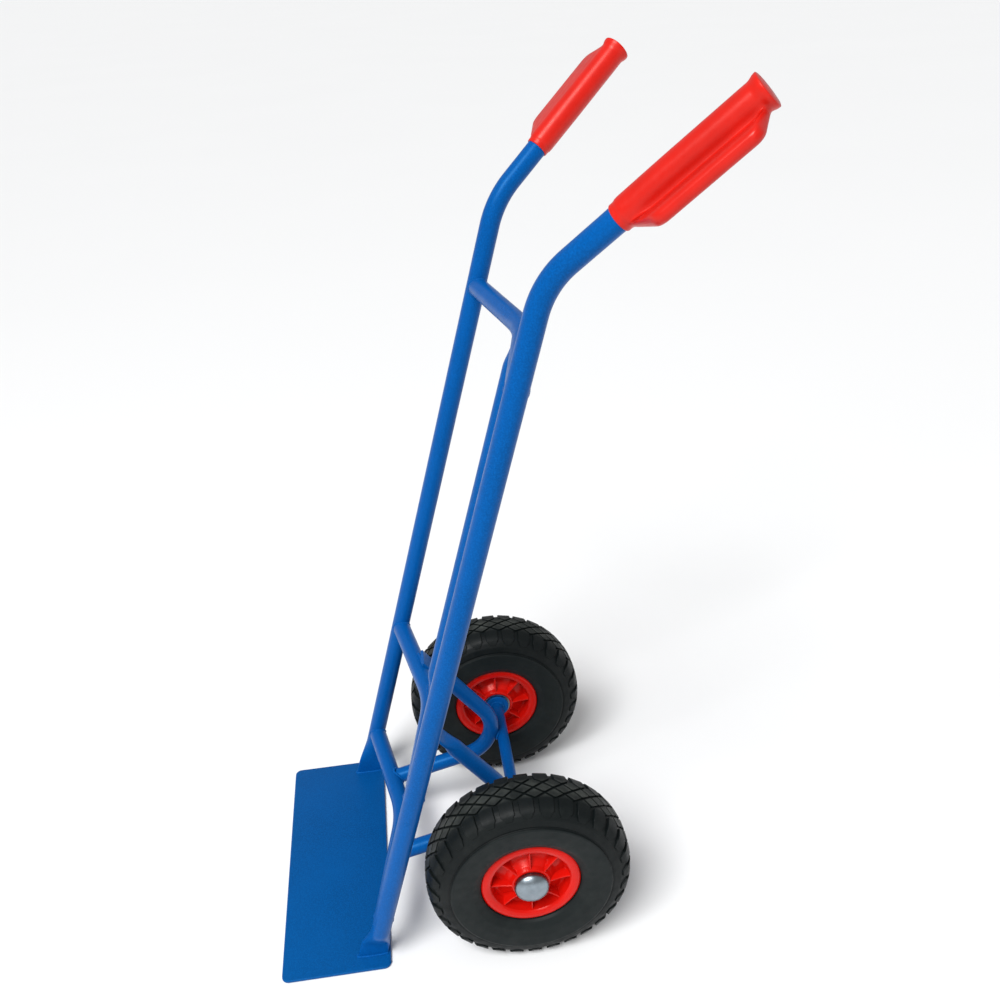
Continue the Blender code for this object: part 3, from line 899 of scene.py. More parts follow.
@dataclass
class WeldShop:
    """Collects the paths of the frame's welds and lays one bead along each."""

    bead: float = 0.0021
    pitch: float = 0.0017
    ball: float = 0.0008
    seed: int = 7
    paths: list[tuple[np.ndarray, bool]] = field(default_factory=list)
    spots: list[np.ndarray] = field(default_factory=list)

    def add(self, path: np.ndarray, closed: bool = True) -> None:
        """Adds a weld path."""
        self.paths.append((np.asarray(path), closed))

    def add_spots(self, points: Sequence[Point]) -> None:
        """Adds places where a ball of spatter sticks."""
        self.spots.extend(np.asarray(point) for point in points)

    def build(self) -> None:
        """Makes the beads and the spatter, and says what they ride on."""
        points: list[np.ndarray] = []
        edges: list[tuple[int, int]] = []
        for path, closed in self.paths:
            first = len(points)
            points.extend(path)
            last = len(points) - 1
            edges.extend((i, i + 1) for i in range(first, last))
            if closed:
                edges.append((last, first))
        welds = make_object("frame_welds", points, [], edges=edges)
        sizes = {"Ball_Radius": self.bead, "Pitch": self.pitch, "Seed": self.seed}
        place_piece(bead_tree().keep(welds, Slot.PAINT, **sizes))
        balls = make_object("weld_spatter", self.spots, [])
        sizes = {"Ball_Radius": self.ball, "Seed": self.seed}
        place_piece(spatter_tree().keep(balls, Slot.PAINT, **sizes))


# The frame


@dataclass
class TubeFrame:
    """The welded frame: toe plate, rails, crossbars, strut and axle brackets."""

    tube_radius: float = 0.0125
    rail_x: float = 0.1815
    rail_lean: float = radians(16.3)
    foot_behind_rear_edge: float = -0.0246
    bend_height: float = 0.8803
    bend_radius: float = 0.100
    handle_rise: float = radians(42.8)
    handle_splay: float = radians(16.6)
    handle_length: float = 0.229
    upper_height: float = 0.776
    middle_height: float = 0.271
    lower_height: float = 0.075
    bar_bow: float = 0.035
    bar_bend_radius: float = 0.180
    strut_radius: float = 0.011
    bracket_x: float = 0.073
    bracket_radius: float = 0.011
    bracket_bend_radius: float = 0.051
    bracket_bend_angle: float = radians(162)
    axle_radius: float = 0.0085
    pressed_half: float = 0.0026
    foot_press: Range = (0.014, 0.044)
    bracket_press: Range = (0.022, 0.030)
    strut_press: tuple[float, float, float] = (0.008, 0.030, 0.0050)
    bracket_tip: float = 0.010
    plate_corner: float = 0.009
    plate_edge: float = 0.0011
    edge_break: float = 0.3
    gap: float = 0.0003
    bar_inset: float = 0.0075
    strut_sink: float = 0.0035
    bracket_sink: float = 0.003
    weld_inset: float = 0.0009
    weld_run: float = 0.04
    lap_weld_half: float = 0.0145
    lap_weld_sink: float = 0.0010
    lap_weld_apart: float = 0.0075
    axle_weld_out: float = 0.0012
    strut_weld_run: float = 0.03
    foot_spatter: int = 5
    foot_spatter_reach: Range = (0.020, 0.034)
    foot_spatter_margin: Range = (0.004, 0.003)
    rail_spatter: int = 3
    rail_spatter_turn: float = 1.1
    rail_spatter_rise: Range = (0.019, 0.032)
    welds: WeldShop = field(default_factory=WeldShop)

    def __post_init__(self) -> None:
        """Takes the places of the plate and the axle from their solids."""
        low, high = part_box("toe_plate")
        self.plate_low, self.plate_high = np.array(low), np.array(high)
        self.foot_y = high.y + self.foot_behind_rear_edge
        self.axle_centre = middle_of("axle")
        self.random = np.random.default_rng(self.welds.seed)

    def rail_point(self, x: float, height: float) -> np.ndarray:
        """The point of the rails' plane at that height and x."""
        return np.array((x, self.foot_y + height * tan(self.rail_lean), height))

    def rail_rod(self, side: Side) -> Rod:
        """The straight lower run of a rail."""
        low = self.rail_point(side.value * self.rail_x, 0)
        high = self.rail_point(side.value * self.rail_x, self.bend_height)
        return Rod(low, high - low, self.tube_radius)

    def handle_direction(self, side: Side) -> np.ndarray:
        """The direction of a handle, up and back and outwards."""
        level = cos(self.handle_splay)
        return np.array((side.value * sin(self.handle_splay), level * cos(self.handle_rise),
                         level * sin(self.handle_rise)))

    def handle_point(self, side: Side, distance: float) -> np.ndarray:
        """A point on a handle's axis, counted from the corner of its bend."""
        corner = self.rail_point(side.value * self.rail_x, self.bend_height)
        return corner + self.handle_direction(side) * distance

    def bar_corner(self, height: float) -> np.ndarray:
        """The corner of a crossbar's bend."""
        return self.rail_point(0, height) + (0, self.bar_bow, 0)

    def bar_point(self, x: float, height: float) -> np.ndarray:
        """The point of a crossbar's straight run at that x."""
        bow = self.bar_bow * (1 - abs(x) / self.rail_x)
        return self.rail_point(x, height) + (0, bow, 0)

    def bar_path(self, height: float, inset: float) -> np.ndarray:
        """A crossbar's axis, whose ends stop short of the rails' axes by an inset."""
        end = self.rail_x - inset
        corners = [self.bar_point(-end, height), self.bar_corner(height), self.bar_point(end, height)]
        return rounded(corners, self.bar_bend_radius, 16)

    def build(self) -> None:
        """Builds every piece of the frame, then its welds."""
        self.build_plate()
        for side in Side:
            self.build_rail(side)
            self.build_bracket(side)
        for name, height in (("upper", self.upper_height), ("middle", self.middle_height),
                             ("lower", self.lower_height)):
            self.build_crossbar(f"{name}_crossbar", height)
        self.build_strut()
        self.welds.build()

    def build_plate(self) -> None:
        """The toe plate: a flat sheet with rounded corners and softly broken edges."""
        low, high = self.plate_low, self.plate_high
        corners = [(low[0], low[1]), (high[0], low[1]), (high[0], high[1]), (low[0], high[1])]
        edge, slight = self.plate_edge, self.plate_edge * self.edge_break
        outline = rounded(corners, self.plate_corner, 12, closed=True)
        middle, half = (low + high)[:2] / 2, (high - low)[:2] / 2
        rings = []
        for z, inset in ((low[2], edge), (low[2] + slight, slight), (low[2] + edge, 0),
                         (high[2] - edge, 0), (high[2] - slight, slight), (high[2], edge)):
            shrunk = middle + (outline - middle) * (half - inset) / half
            rings.append(np.column_stack([shrunk, np.full(len(shrunk), z)]))
        # The plate wears the darker copy of the frame's coat, which is painted shade for its upward
        # face.
        add_piece("toe_plate_sheet", loft(rings), Slot.PAINT, "toe_plate", 50, SHADED_PLATE_COAT)

    def build_rail(self, side: Side) -> None:
        """A rail with its pressed foot and its swept-back handle, and the foot's weld."""
        x = side.value * self.rail_x
        foot = self.rail_point(x, self.plate_high[2])
        corner = self.rail_point(x, self.bend_height)
        top = self.handle_point(side, self.handle_length)
        shift = -side.value * (self.tube_radius - self.pressed_half)
        press = PressedEnd(*self.foot_press, self.pressed_half, False, shift)
        tube = Tube(rounded([foot, corner, top], self.bend_radius, 28), self.tube_radius, X_AXIS,
                    start=press)
        rings = tube.rings()
        run = unit(tube.path[1] - tube.path[0])
        rings[0] = np.array([p + run * ((foot[2] - p[2]) / run[2]) for p in rings[0]])
        add_piece(f"{side.prefix}_rail_tube", loft(rings), Slot.PAINT, f"{side.prefix}_rail")
        self.welds.add(rings[0])
        self.spatter_on_plate(foot)

    def spatter_on_plate(self, foot: np.ndarray) -> None:
        """A few balls of spatter on the plate round a rail's foot."""
        side_margin, rear_margin = self.foot_spatter_margin
        for _ in range(self.foot_spatter):
            angle = self.random.uniform(0, 2 * pi)
            reach = self.random.uniform(*self.foot_spatter_reach)
            spot = foot + reach * np.array((cos(angle) * 0.5, sin(angle), 0))
            spot[0] = np.clip(spot[0], self.plate_low[0] + side_margin, self.plate_high[0] - side_margin)
            spot[1] = min(spot[1], self.plate_high[1] - rear_margin)
            self.welds.add_spots([spot])

    def spatter_on_rail(self, side: Side, height: float) -> None:
        """A few balls of spatter on a rail above and below a crossbar's joint."""
        most = self.rail_spatter_turn
        for _ in range(self.rail_spatter):
            turn = self.random.uniform(-most, most) + (pi if side is Side.LEFT else 0)
            rise = self.random.choice((-1, 1)) * self.random.uniform(*self.rail_spatter_rise)
            centre = self.rail_point(side.value * self.rail_x, height + rise)
            self.welds.add_spots([centre + self.tube_radius * np.array((cos(turn), sin(turn), 0))])

    def build_crossbar(self, name: str, height: float) -> None:
        """A bent crossbar and its two welds to the rails."""
        tube = Tube(self.bar_path(height, self.bar_inset), self.tube_radius, Z_AXIS)
        add_piece(f"{name}_tube", loft(tube.rings()), Slot.PAINT, name)
        for side in Side:
            near = self.bar_point(side.value * (self.rail_x - self.weld_run), height)
            far = self.bar_point(side.value * self.rail_x, height)
            ring = Tube(np.array([near, far]), self.tube_radius - self.weld_inset, Z_AXIS).rings()[0]
            self.welds.add(self.rail_rod(side).met_by(ring, far - near))
            self.spatter_on_rail(side, height)

    def bar_rod(self, x: float, height: float) -> Rod:
        """A crossbar's surface round that x."""
        slope = 0.0 if x == 0 else -np.sign(x) * self.bar_bow / self.rail_x
        path = self.bar_path(height, 0)
        point = self.bar_point(x, height) if x else path[len(path) // 2]
        return Rod(point, np.array((1.0, slope, 0.0)), self.tube_radius)

    def build_strut(self) -> None:
        """The upright between the upper and the middle crossbar, with fishtail ends."""
        high, low = self.bar_rod(0, self.upper_height), self.bar_rod(0, self.middle_height)
        run = unit(low.point - high.point)
        inset, back = self.tube_radius - self.strut_sink, run * self.strut_weld_run
        path = np.array([high.point + run * inset, low.point - run * inset])
        press = PressedEnd(*self.strut_press, True)
        rings = Tube(path, self.strut_radius, X_AXIS, start=press, end=press).rings()
        add_piece("centre_strut_tube", loft(rings), Slot.PAINT, "centre_strut")
        self.welds.add(high.met_by(rings[0] + back, -run))
        self.welds.add(low.met_by(rings[-1] - back, run))

    def bracket_path(self, side: Side) -> tuple[np.ndarray, np.ndarray]:
        """A bracket's axis, from the lower crossbar round the axle to the middle one.

        Args:
            side: the bracket's side.

        Returns:
            The path, and the direction of its upper leg.
        """
        x = side.value * self.bracket_x
        reach = self.bracket_bend_radius + self.bracket_radius + self.axle_radius + self.gap
        centre = self.axle_centre[1:] + reach * np.array(
            (cos(self.bracket_bend_angle), sin(self.bracket_bend_angle)))
        lower = self.bar_point(x, self.lower_height)
        middle = self.bar_point(x, self.middle_height)
        lap = self.tube_radius + self.pressed_half + self.gap

        def tangent(target: np.ndarray, radius: float, sign: int) -> float:
            """The angle at which a leg to the target leaves the bend."""
            offset = target[1:] - centre
            spread = pi / 2 - asin(radius / np.linalg.norm(offset))
            return atan2(offset[1], offset[0]) + sign * spread

        first = tangent(lower, self.bracket_bend_radius, 1) % (2 * pi)
        last = tangent(middle, self.bracket_bend_radius - lap, -1) % (2 * pi) + 2 * pi
        angles = np.linspace(first, last, 36)
        arc = np.column_stack([np.full(len(angles), x),
                               centre[0] + self.bracket_bend_radius * np.cos(angles),
                               centre[1] + self.bracket_bend_radius * np.sin(angles)])
        rise = np.array((0, -sin(last), cos(last)))
        tip = arc[-1] + rise * (np.dot(middle - arc[-1], rise) + self.bracket_tip)
        inset = unit(arc[0] - lower) * (self.tube_radius - self.bracket_sink)
        return np.array([lower + inset, *arc, tip]), rise

    def build_bracket(self, side: Side) -> None:
        """A bent axle bracket and its welds to both crossbars and the axle."""
        path, rise = self.bracket_path(side)
        press = PressedEnd(*self.bracket_press, self.pressed_half, True)
        rings = Tube(path, self.bracket_radius, X_AXIS, end=press).rings()
        add_piece(f"{side.prefix}_bracket_tube", loft(rings), Slot.PAINT, f"{side.prefix}_axle_bracket")
        x = side.value * self.bracket_x
        self.welds.add(self.bar_rod(x, self.lower_height).met_by(rings[1], path[0] - path[1]))
        self.weld_lap(x, rise)
        self.weld_axle(x)

    def weld_lap(self, x: float, rise: np.ndarray) -> None:
        """Two short beads in the grooves between a bracket's flat tip and the middle crossbar."""
        rod = self.bar_rod(x, self.middle_height)
        back = unit(np.cross(rise, X_AXIS))
        back = back if back[1] > 0 else -back
        along, half = unit(rod.direction), self.lap_weld_half
        groove = rod.point + back * (self.tube_radius - self.lap_weld_sink)
        for sign in (-1, 1):
            centre = groove + rise * (sign * self.lap_weld_apart)
            self.welds.add([centre + along * t for t in np.linspace(-half, half, 9)], closed=False)

    def weld_axle(self, x: float) -> None:
        """A closed bead where a bracket's bend crosses the axle."""
        wide, tall = self.axle_radius + self.axle_weld_out, self.bracket_radius + self.axle_weld_out
        apart = self.axle_radius + self.bracket_radius + self.gap
        normal = np.array((0, cos(self.bracket_bend_angle), sin(self.bracket_bend_angle)))
        along = np.array((0, -sin(self.bracket_bend_angle), cos(self.bracket_bend_angle)))
        reach = sqrt(tall ** 2 - (apart - wide) ** 2)
        path = []
        for angle in np.linspace(0, 2 * pi, 40, endpoint=False):
            across = reach * cos(angle)
            depth = apart - sqrt(tall ** 2 - across ** 2)
            rise = sqrt(max(wide ** 2 - depth ** 2, 0)) * np.sign(sin(angle))
            centre = self.axle_centre + X_AXIS * x
            path.append(centre + X_AXIS * across + normal * depth + along * rise)
        self.welds.add(np.array(path))


# Axle and its fittings


@dataclass
class AxleSet:
    """The axle and what stays on it: collars, washers, spacers and end caps."""

    welds: WeldShop
    axle_radius: float = 0.0085
    axle_chamfer: float = 0.0015
    collar_round: float = 0.0009
    weld_out: float = 0.0006
    cap_skirt: float = 0.0018
    cap_lip: tuple[Range, ...] = ((0, 0.0008), (0.0003, 0.0002), (0.0009, 0), (0.0018, 0.0001))
    dome_steps: int = 19
    dome_fullness: float = 0.94
    segments: int = 64

    def build(self) -> None:
        """Builds the axle and both sides' fittings."""
        self.build_axle()
        for side in Side:
            self.build_collar(side)
            self.build_cap(side)
            for piece in ("hub_spacer", "outer_washer"):
                dress(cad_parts[f"{side.prefix}_{piece}"], FINISHES[Slot.ZINC])

    def build_axle(self) -> None:
        """The axle: a plain round bar with chamfered ends."""
        half, _ = sizes_of("axle")
        radius, chamfer = self.axle_radius, self.axle_chamfer
        profile = [(-half, 0), (-half, radius - chamfer), (-half + chamfer, radius),
                   (half - chamfer, radius), (half, radius - chamfer), (half, 0)]
        axle = turned(profile, self.segments, middle_of("axle"))
        add_piece("axle_bar", axle, Slot.PAINT, "axle", crease=20)

    def build_collar(self, side: Side) -> None:
        """The blue stop collar on the inner side of a wheel, and its weld to the axle."""
        node = f"{side.prefix}_axle_collar"
        half, radius = sizes_of(node)
        corners = [(-half, self.axle_radius), (-half, radius), (half, radius), (half, self.axle_radius)]
        profile = rounded(corners, [0, self.collar_round, self.collar_round, 0], 4)
        collar = turned(profile, self.segments, middle_of(node), closed=True)
        add_piece(f"{side.prefix}_stop_collar", collar, Slot.PAINT, node, crease=40)
        centre = middle_of(node) - X_AXIS * (side.value * half)
        angles = np.linspace(0, 2 * pi, 40, endpoint=False)
        reach = self.axle_radius + self.weld_out
        self.welds.add([centre + (0, reach * cos(a), reach * sin(a)) for a in angles])

    def build_cap(self, side: Side) -> None:
        """The pressed zinc cap over the axle's end: a skirt with a rolled lip and a low dome."""
        node = f"{side.prefix}_hub_cap"
        low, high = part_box(node)
        height, radius = high.x - low.x, (high.z - low.z) / 2
        base = low.x if side is Side.LEFT else high.x
        rise = height - self.cap_skirt
        profile = [(0, 0), *((x, radius - sunk) for x, sunk in self.cap_lip)]
        for i in range(1, self.dome_steps):
            angle = pi / 2 * i / self.dome_steps
            profile.append((self.cap_skirt + rise * sin(angle),
                            radius * cos(angle) ** self.dome_fullness))
        profile = [(side.value * x, r) for x, r in (*profile, (height, 0))]
        cap = turned(profile, self.segments, (base, *middle_of(node)[1:]))
        add_piece(f"{side.prefix}_cap_dome", cap, Slot.ZINC, node, crease=60)


# Wheels


@dataclass
class Tread:
    """The tread's outer surface and its blocks, laid out in arc length from the crown's middle.

    Rows of diamonds cover the crown, with rows on each side of the middle one, and the last row's
    gaps take a lug over each shoulder. A block stands on the carcass: depth and root are its height.
    """

    profile: tuple[tuple[float, float], ...] = (
        (0.0, 0.1300), (0.008, 0.1298), (0.015, 0.1291), (0.022, 0.1276), (0.028, 0.1254),
        (0.0318, 0.1230), (0.0345, 0.1188), (0.0376, 0.1125), (0.0395, 0.1065))
    pitches: int = 32
    row_step: float = 0.0085
    rows: int = 1
    groove: float = 0.0030
    depth: float = 0.0026
    root: float = 0.0012
    edge: float = 0.0005
    edge_share: float = 0.4
    profile_round: float = 0.006
    lug_half: float = 0.0092
    lug_corner: float = 0.0335
    lug_end: float = 0.0415
    shallow: float = 0.0008
    fade: float = 0.013
    fade_room: float = 0.002
    draft: float = 0.0004
    probe: float = 0.001
    diamond_cuts: tuple[float, ...] = (-0.90, -0.45, 0.0, 0.45, 0.90)
    point_cuts: Range = (0.90, 0.55)
    taper: float = 0.5
    taper_steps: tuple[float, ...] = (0.33, 0.66, 1.0)

    def __post_init__(self) -> None:
        """Measures the arc along the profile."""
        self.points = rounded(self.profile, self.profile_round, 3)
        steps = np.linalg.norm(np.diff(self.points, axis=0), axis=1)
        self.marks = np.concatenate([[0], np.cumsum(steps)])
        self.crown = self.profile[0][1]

    def surface(self, arc: float, around: float, depth: float) -> np.ndarray:
        """A point on or below the tread's surface, about an axis through the origin.

        Args:
            arc: the distance from the crown's middle, along the surface and across the tyre.
            around: the distance round the tyre, at the crown.
            depth: the distance below the surface.

        Returns:
            The point.
        """
        x, radius = (np.interp(abs(arc), self.marks, self.points[:, i]) for i in range(2))
        ahead, behind = (np.array([np.interp(abs(arc) + step, self.marks, self.points[:, i])
                                   for i in range(2)]) for step in (self.probe, -self.probe))
        along = unit(ahead - behind) if abs(arc) > self.probe else np.array((1.0, 0.0))
        x, radius = np.array((x, radius)) + np.array((along[1], -along[0])) * depth
        angle = around / self.crown
        sign = 1 if arc >= 0 else -1
        return np.array((sign * x, radius * cos(angle), radius * sin(angle)))

    def block(self, stations: Sequence[Range], around: float) -> Shape:
        """One block, as a loft across the tyre.

        Args:
            stations: (arc, half width) pairs across the block.
            around: where its middle is round the tyre.

        Returns:
            The points and the faces.
        """
        rings = []
        for arc, half in stations:
            fade = smooth_step((self.lug_end + self.fade_room - abs(arc)) / self.fade)
            deep = self.shallow + (self.depth - self.shallow) * fade + self.root
            edge = min(self.edge, half * self.edge_share)
            section = [(-half - self.draft, deep), (-half, edge), (-half + edge, 0), (half - edge, 0),
                       (half, edge), (half + self.draft, deep)]
            rings.append(np.array([self.surface(arc, around + c, d) for c, d in section]))
        return loft(rings)

    def blocks(self) -> bpy.types.Object:
        """One pitch of the tread: rows of diamonds and a pointed lug over each shoulder."""
        pitch = 2 * pi * self.crown / self.pitches
        half_diagonals = np.array((self.row_step, pitch / 2))
        inradius = half_diagonals.prod() / np.linalg.norm(half_diagonals)
        across, round_half = half_diagonals * (1 - self.groove / 2 / inradius)
        blocks = []
        for row in range(-self.rows, self.rows + 1):
            stations = [(row * self.row_step + across * cut, round_half * (1 - abs(cut)))
                        for cut in self.diamond_cuts]
            blocks.append(self.block(stations, pitch / 2 if row % 2 else 0.0))
        shoulder = (self.rows + 1) * self.row_step
        offset = 0.0 if self.rows % 2 else pitch / 2
        full = 1 - self.lug_half / round_half
        for sign in (-1, 1):
            stations = [(shoulder - across * cut, round_half * (1 - cut))
                        for cut in (*self.point_cuts, full)]
            stations += [(arc, self.lug_half) for arc in np.linspace(shoulder, self.lug_corner, 6)]
            stations += [(self.lug_corner + (self.lug_end - self.lug_corner) * part,
                          self.lug_half * (1 - self.taper * part)) for part in self.taper_steps]
            blocks.append(self.block([(sign * arc, half) for arc, half in stations], offset))
        return make_object("tread_pitch", *merged(blocks), crease=25)


@dataclass
class Wheel:
    """A wheel: solid tyre, one-piece rim with ribs, and two ball bearings."""

    side: Side
    repeat: NodeTree
    tread: Tread = field(default_factory=Tread)
    segments: int = 128
    crease: float = 38.0
    tyre_corners: tuple[Range, ...] = (
        (0.0252, 0.0563), (0.0252, 0.0634), (0.0318, 0.0634), (0.0345, 0.0660), (0.0392, 0.0740),
        (0.0410, 0.0860), (0.0416, 0.0994), (0.0409, 0.1012), (0.0382, 0.1018), (0.0386, 0.1045),
        (0.0366, 0.1118), (0.0328, 0.1179), (0.0283, 0.1221), (0.0223, 0.1249), (0.0120, 0.1268),
        (0.0, 0.1274))
    tyre_fillets: tuple[float, ...] = (
        0, 0.001, 0.001, 0.004, 0.010, 0.030, 0.0012, 0.0008, 0.0008, 0.004, 0.010, 0.008, 0.010,
        0.015, 0.030, 0)
    rim_corners: tuple[Range, ...] = (
        (0.0254, 0.0561), (0.0254, 0.0612), (0.0268, 0.0626), (0.0300, 0.0627), (0.0318, 0.0600),
        (0.0320, 0.0560), (0.0310, 0.0518), (0.0288, 0.0498), (0.0160, 0.0478), (0.0140, 0.0455),
        (0.0190, 0.0330), (0.0262, 0.0264), (0.0312, 0.0240), (0.0320, 0.0226), (0.0320, 0.0205),
        (0.0195, 0.0203), (0.0195, 0.0162))
    rim_fillets: tuple[float, ...] = (
        0, 0.0004, 0.0009, 0.0014, 0.0050, 0.0060, 0.0030, 0.0016, 0.0030, 0.0030, 0.0080, 0.0040,
        0.0016, 0.0008, 0.0004, 0.0003, 0)
    bearing_segments: int = 64
    ribs: int = 8
    rib_half: float = 0.0013
    rib_heights: tuple[tuple[float, float, float], ...] = (
        (0.0236, 0.0312, 0.016), (0.0262, 0.0306, 0.014), (0.0360, 0.0286, 0.012),
        (0.0470, 0.0276, 0.010), (0.0495, 0.0280, 0.010))
    bearing_bore: float = 0.0088
    shield_radii: tuple[float, ...] = (0.0122, 0.0124, 0.0166, 0.0168)
    shield_sunk: float = 0.0007
    bearing_fillets: tuple[float, ...] = (0.0003, 0.0002, 0.0002, 0.0002, 0.0002, 0.0005)

    def __post_init__(self) -> None:
        """Takes the wheel's middle from its tyre's solid."""
        self.centre = middle_of(f"{self.side.prefix}_tyre")
        self.body = f"{self.side.prefix}_wheel"

    def build(self) -> None:
        """Builds the tyre, the rim and the bearings."""
        self.build_tyre()
        self.build_rim()
        for place in ("outer", "inner"):
            self.build_bearing(place)

    def turn_with_copies(self, piece: str, profile: Sequence[Point], copied: bpy.types.Object,
                         count: int, slot: Slot, node: str) -> None:
        """A closed turned body with copies of a shape round it, as one piece.

        Args:
            piece: its name, after the side's.
            profile: the body's (x, radius) section.
            copied: the shape, which is then removed.
            count: how many copies go round.
            slot: the record's slot for its finish.
            node: the solid that it replaces, after the side's name.
        """
        body = make_object(f"{self.side.prefix}_{piece}",
                           *turned(profile, self.segments, self.centre, closed=True),
                           crease=self.crease)
        self.repeat.keep(body, slot, Shape=copied, Count=count, Centre=tuple(self.centre))
        bpy.data.objects.remove(copied)
        place_piece(body, [f"{self.side.prefix}_{node}"], self.body)

    def build_tyre(self) -> None:
        """The tyre's carcass with a ring step on each sidewall, and its tread blocks."""
        profile = mirrored(rounded(self.tyre_corners, self.tyre_fillets, 5), shared=True)
        self.turn_with_copies("tyre_tread", profile, self.tread.blocks(), self.tread.pitches,
                              Slot.TYRE, "tyre")

    def build_rim(self) -> None:
        """The moulded rim: two flanges, dished pockets, a hub and radial ribs on both faces."""
        profile = mirrored(rounded(self.rim_corners, self.rim_fillets, 4))
        self.turn_with_copies("moulded_rim", profile, self.rib(), self.ribs, Slot.RIM, "rim")

    def rib(self) -> bpy.types.Object:
        """A rib for each face of the rim: a thin radial plate with a rounded top edge."""
        half = self.rib_half
        plates = []
        for sign in (-1, 1):
            rings = []
            for radius, top, floor in self.rib_heights:
                section = [(floor, -half * 1.5), (top - half, -half), (top - half * 0.4, -half * 0.8),
                           (top, -half * 0.3), (top, half * 0.3), (top - half * 0.4, half * 0.8),
                           (top - half, half), (floor, half * 1.5)]
                rings.append(np.array([(sign * x, radius, t) for x, t in section]))
            plates.append(loft(rings))
        return make_object("rim_rib", *merged(plates), crease=50)

    def build_bearing(self, place: str) -> None:
        """A shielded ball bearing: outer ring, recessed shield and inner ring."""
        node = f"{self.side.prefix}_{place}_bearing"
        half, radius = sizes_of(node)
        sunk = half - self.shield_sunk
        radii = (self.bearing_bore, *self.shield_radii, radius)
        corners = list(zip((half, half, sunk, sunk, half, half), radii))
        profile = mirrored(rounded(corners, self.bearing_fillets, 2))
        rings = turned(profile, self.bearing_segments, middle_of(node), closed=True)
        add_piece(f"{node}_rings", rings, Slot.STEEL, node, crease=40, body=self.body)


# Grips


@dataclass
class Grip:
    """A moulded handle grip with a collar, a domed end flange and a hand guard along one side.

    The guard's section is (outwards, across) points. Each slides from the grip's round side to its
    full place as the guard's reach grows from nothing, so grip and guard are one skin.
    """

    side: Side
    truck: TubeFrame
    starts: tuple[float, float] = (0.0905, 0.0812)
    length: float = 0.158
    bore: float = 0.0124
    mouth: Range = (0.004, 0.0002)
    round_points: int = 46
    guard_round: float = 0.008
    skin_start: float = radians(-6)
    skin_end: float = radians(80)
    collar_marks: tuple[Range, ...] = (
        (0, 0.0134), (0.0006, 0.0140), (0.0050, 0.0141), (0.0062, 0.0144), (0.0080, 0.0150),
        (0.0110, 0.0153), (0.060, 0.0155))
    flange_marks: tuple[Range, ...] = (
        (0.0170, 0.0152), (0.0110, 0.0151), (0.0085, 0.0154), (0.0062, 0.0162), (0.0045, 0.0168),
        (0.0028, 0.0171), (0.0012, 0.0172), (0.0006, 0.0168), (0.0003, 0.0145), (0.0002, 0.0095),
        (0.0001, 0.0045))
    guard_reach: float = 0.034
    guard_outline: tuple[Range, ...] = (
        (0.0, 0.0), (0.0075, 0.0), (0.0345, 0.034), (0.1375, 0.0322), (0.1490, 0.0), (0.158, 0.0))
    guard_rounding: tuple[float, ...] = (0.0, 0.004, 0.016, 0.011, 0.004, 0.0)
    guard: tuple[Range, ...] = (
        (0.0151, 0.0004), (0.0153, 0.0036), (0.0166, 0.0058), (0.0192, 0.0059), (0.0235, 0.0045),
        (0.0300, 0.0025), (0.0365, 0.0010), (0.0420, 0.0006), (0.0460, 0.0020), (0.0484, 0.0050),
        (0.0490, 0.0086), (0.0480, 0.0120), (0.0450, 0.0144), (0.0400, 0.0154), (0.0300, 0.0158),
        (0.0200, 0.0158), (0.0130, 0.0158), (0.0070, 0.0157))

    def outline(self, distance: float) -> float:
        """The grip's radius at a distance from its collar's edge."""
        marks = [*self.collar_marks, *((self.length - mark, r) for mark, r in self.flange_marks)]
        return float(np.interp(distance, *zip(*marks)))

    def reach(self, distance: float) -> float:
        """How much of its full reach the guard has at that distance, from 0 to 1."""
        line = rounded(self.guard_outline, self.guard_rounding, 8)
        return float(np.interp(distance, line[:, 0], line[:, 1])) / self.guard_reach

    def ring(self, distance: float) -> np.ndarray:
        """The section at that distance, as (outwards, across) points."""
        radius = self.outline(distance)
        amount = self.reach(distance)
        guard = rounded(self.guard, self.guard_round, 2)
        first, last = self.skin_start, self.skin_end
        arc = np.linspace(first, last, len(guard))
        near = radius * np.column_stack([np.cos(arc), np.sin(arc)])
        lobe = near + (guard - near) * amount
        rest = np.linspace(last, first + 2 * pi, self.round_points)[1:-1]
        return np.vstack([lobe, radius * np.column_stack([np.cos(rest), np.sin(rest)])])

    def distances(self) -> list[float]:
        """Where the grip has a ring: close together where its shape changes."""
        end = self.length
        spans = ((0.0, 0.013, 0.0009), (0.012, 0.045, 0.0012), (0.045, end - 0.032, 0.003),
                 (end - 0.032, end - 0.006, 0.0010), (end - 0.006, end, 0.0005))
        return sorted({*(mark for span in spans for mark in np.arange(*span)), end - 0.0001})

    def build(self) -> None:
        """Builds the grip as one skin and a rim that turns into its bore."""
        along = self.truck.handle_direction(self.side)
        outwards = X_AXIS * self.side.value
        outwards = unit(outwards - along * np.dot(outwards, along))
        across = np.cross(along, outwards)
        origin = self.truck.handle_point(self.side, self.starts[self.side is Side.RIGHT])

        def set_in_place(distance: float, section: np.ndarray) -> np.ndarray:
            """The section as points of the truck's frame."""
            return np.array([origin + along * distance + outwards * u + across * v for u, v in section])

        outer = self.ring(0.0)
        inner = outer / np.linalg.norm(outer, axis=1)[:, None] * self.bore
        rings = [set_in_place(depth, inner) for depth in self.mouth]
        rings += [set_in_place(distance, self.ring(distance)) for distance in self.distances()]
        rings.append(np.array([origin + along * self.length]))
        prefix = self.side.prefix
        add_piece(f"{prefix}_moulded_grip", loft(rings), Slot.GRIP, f"{prefix}_grip", crease=55)


# Studio


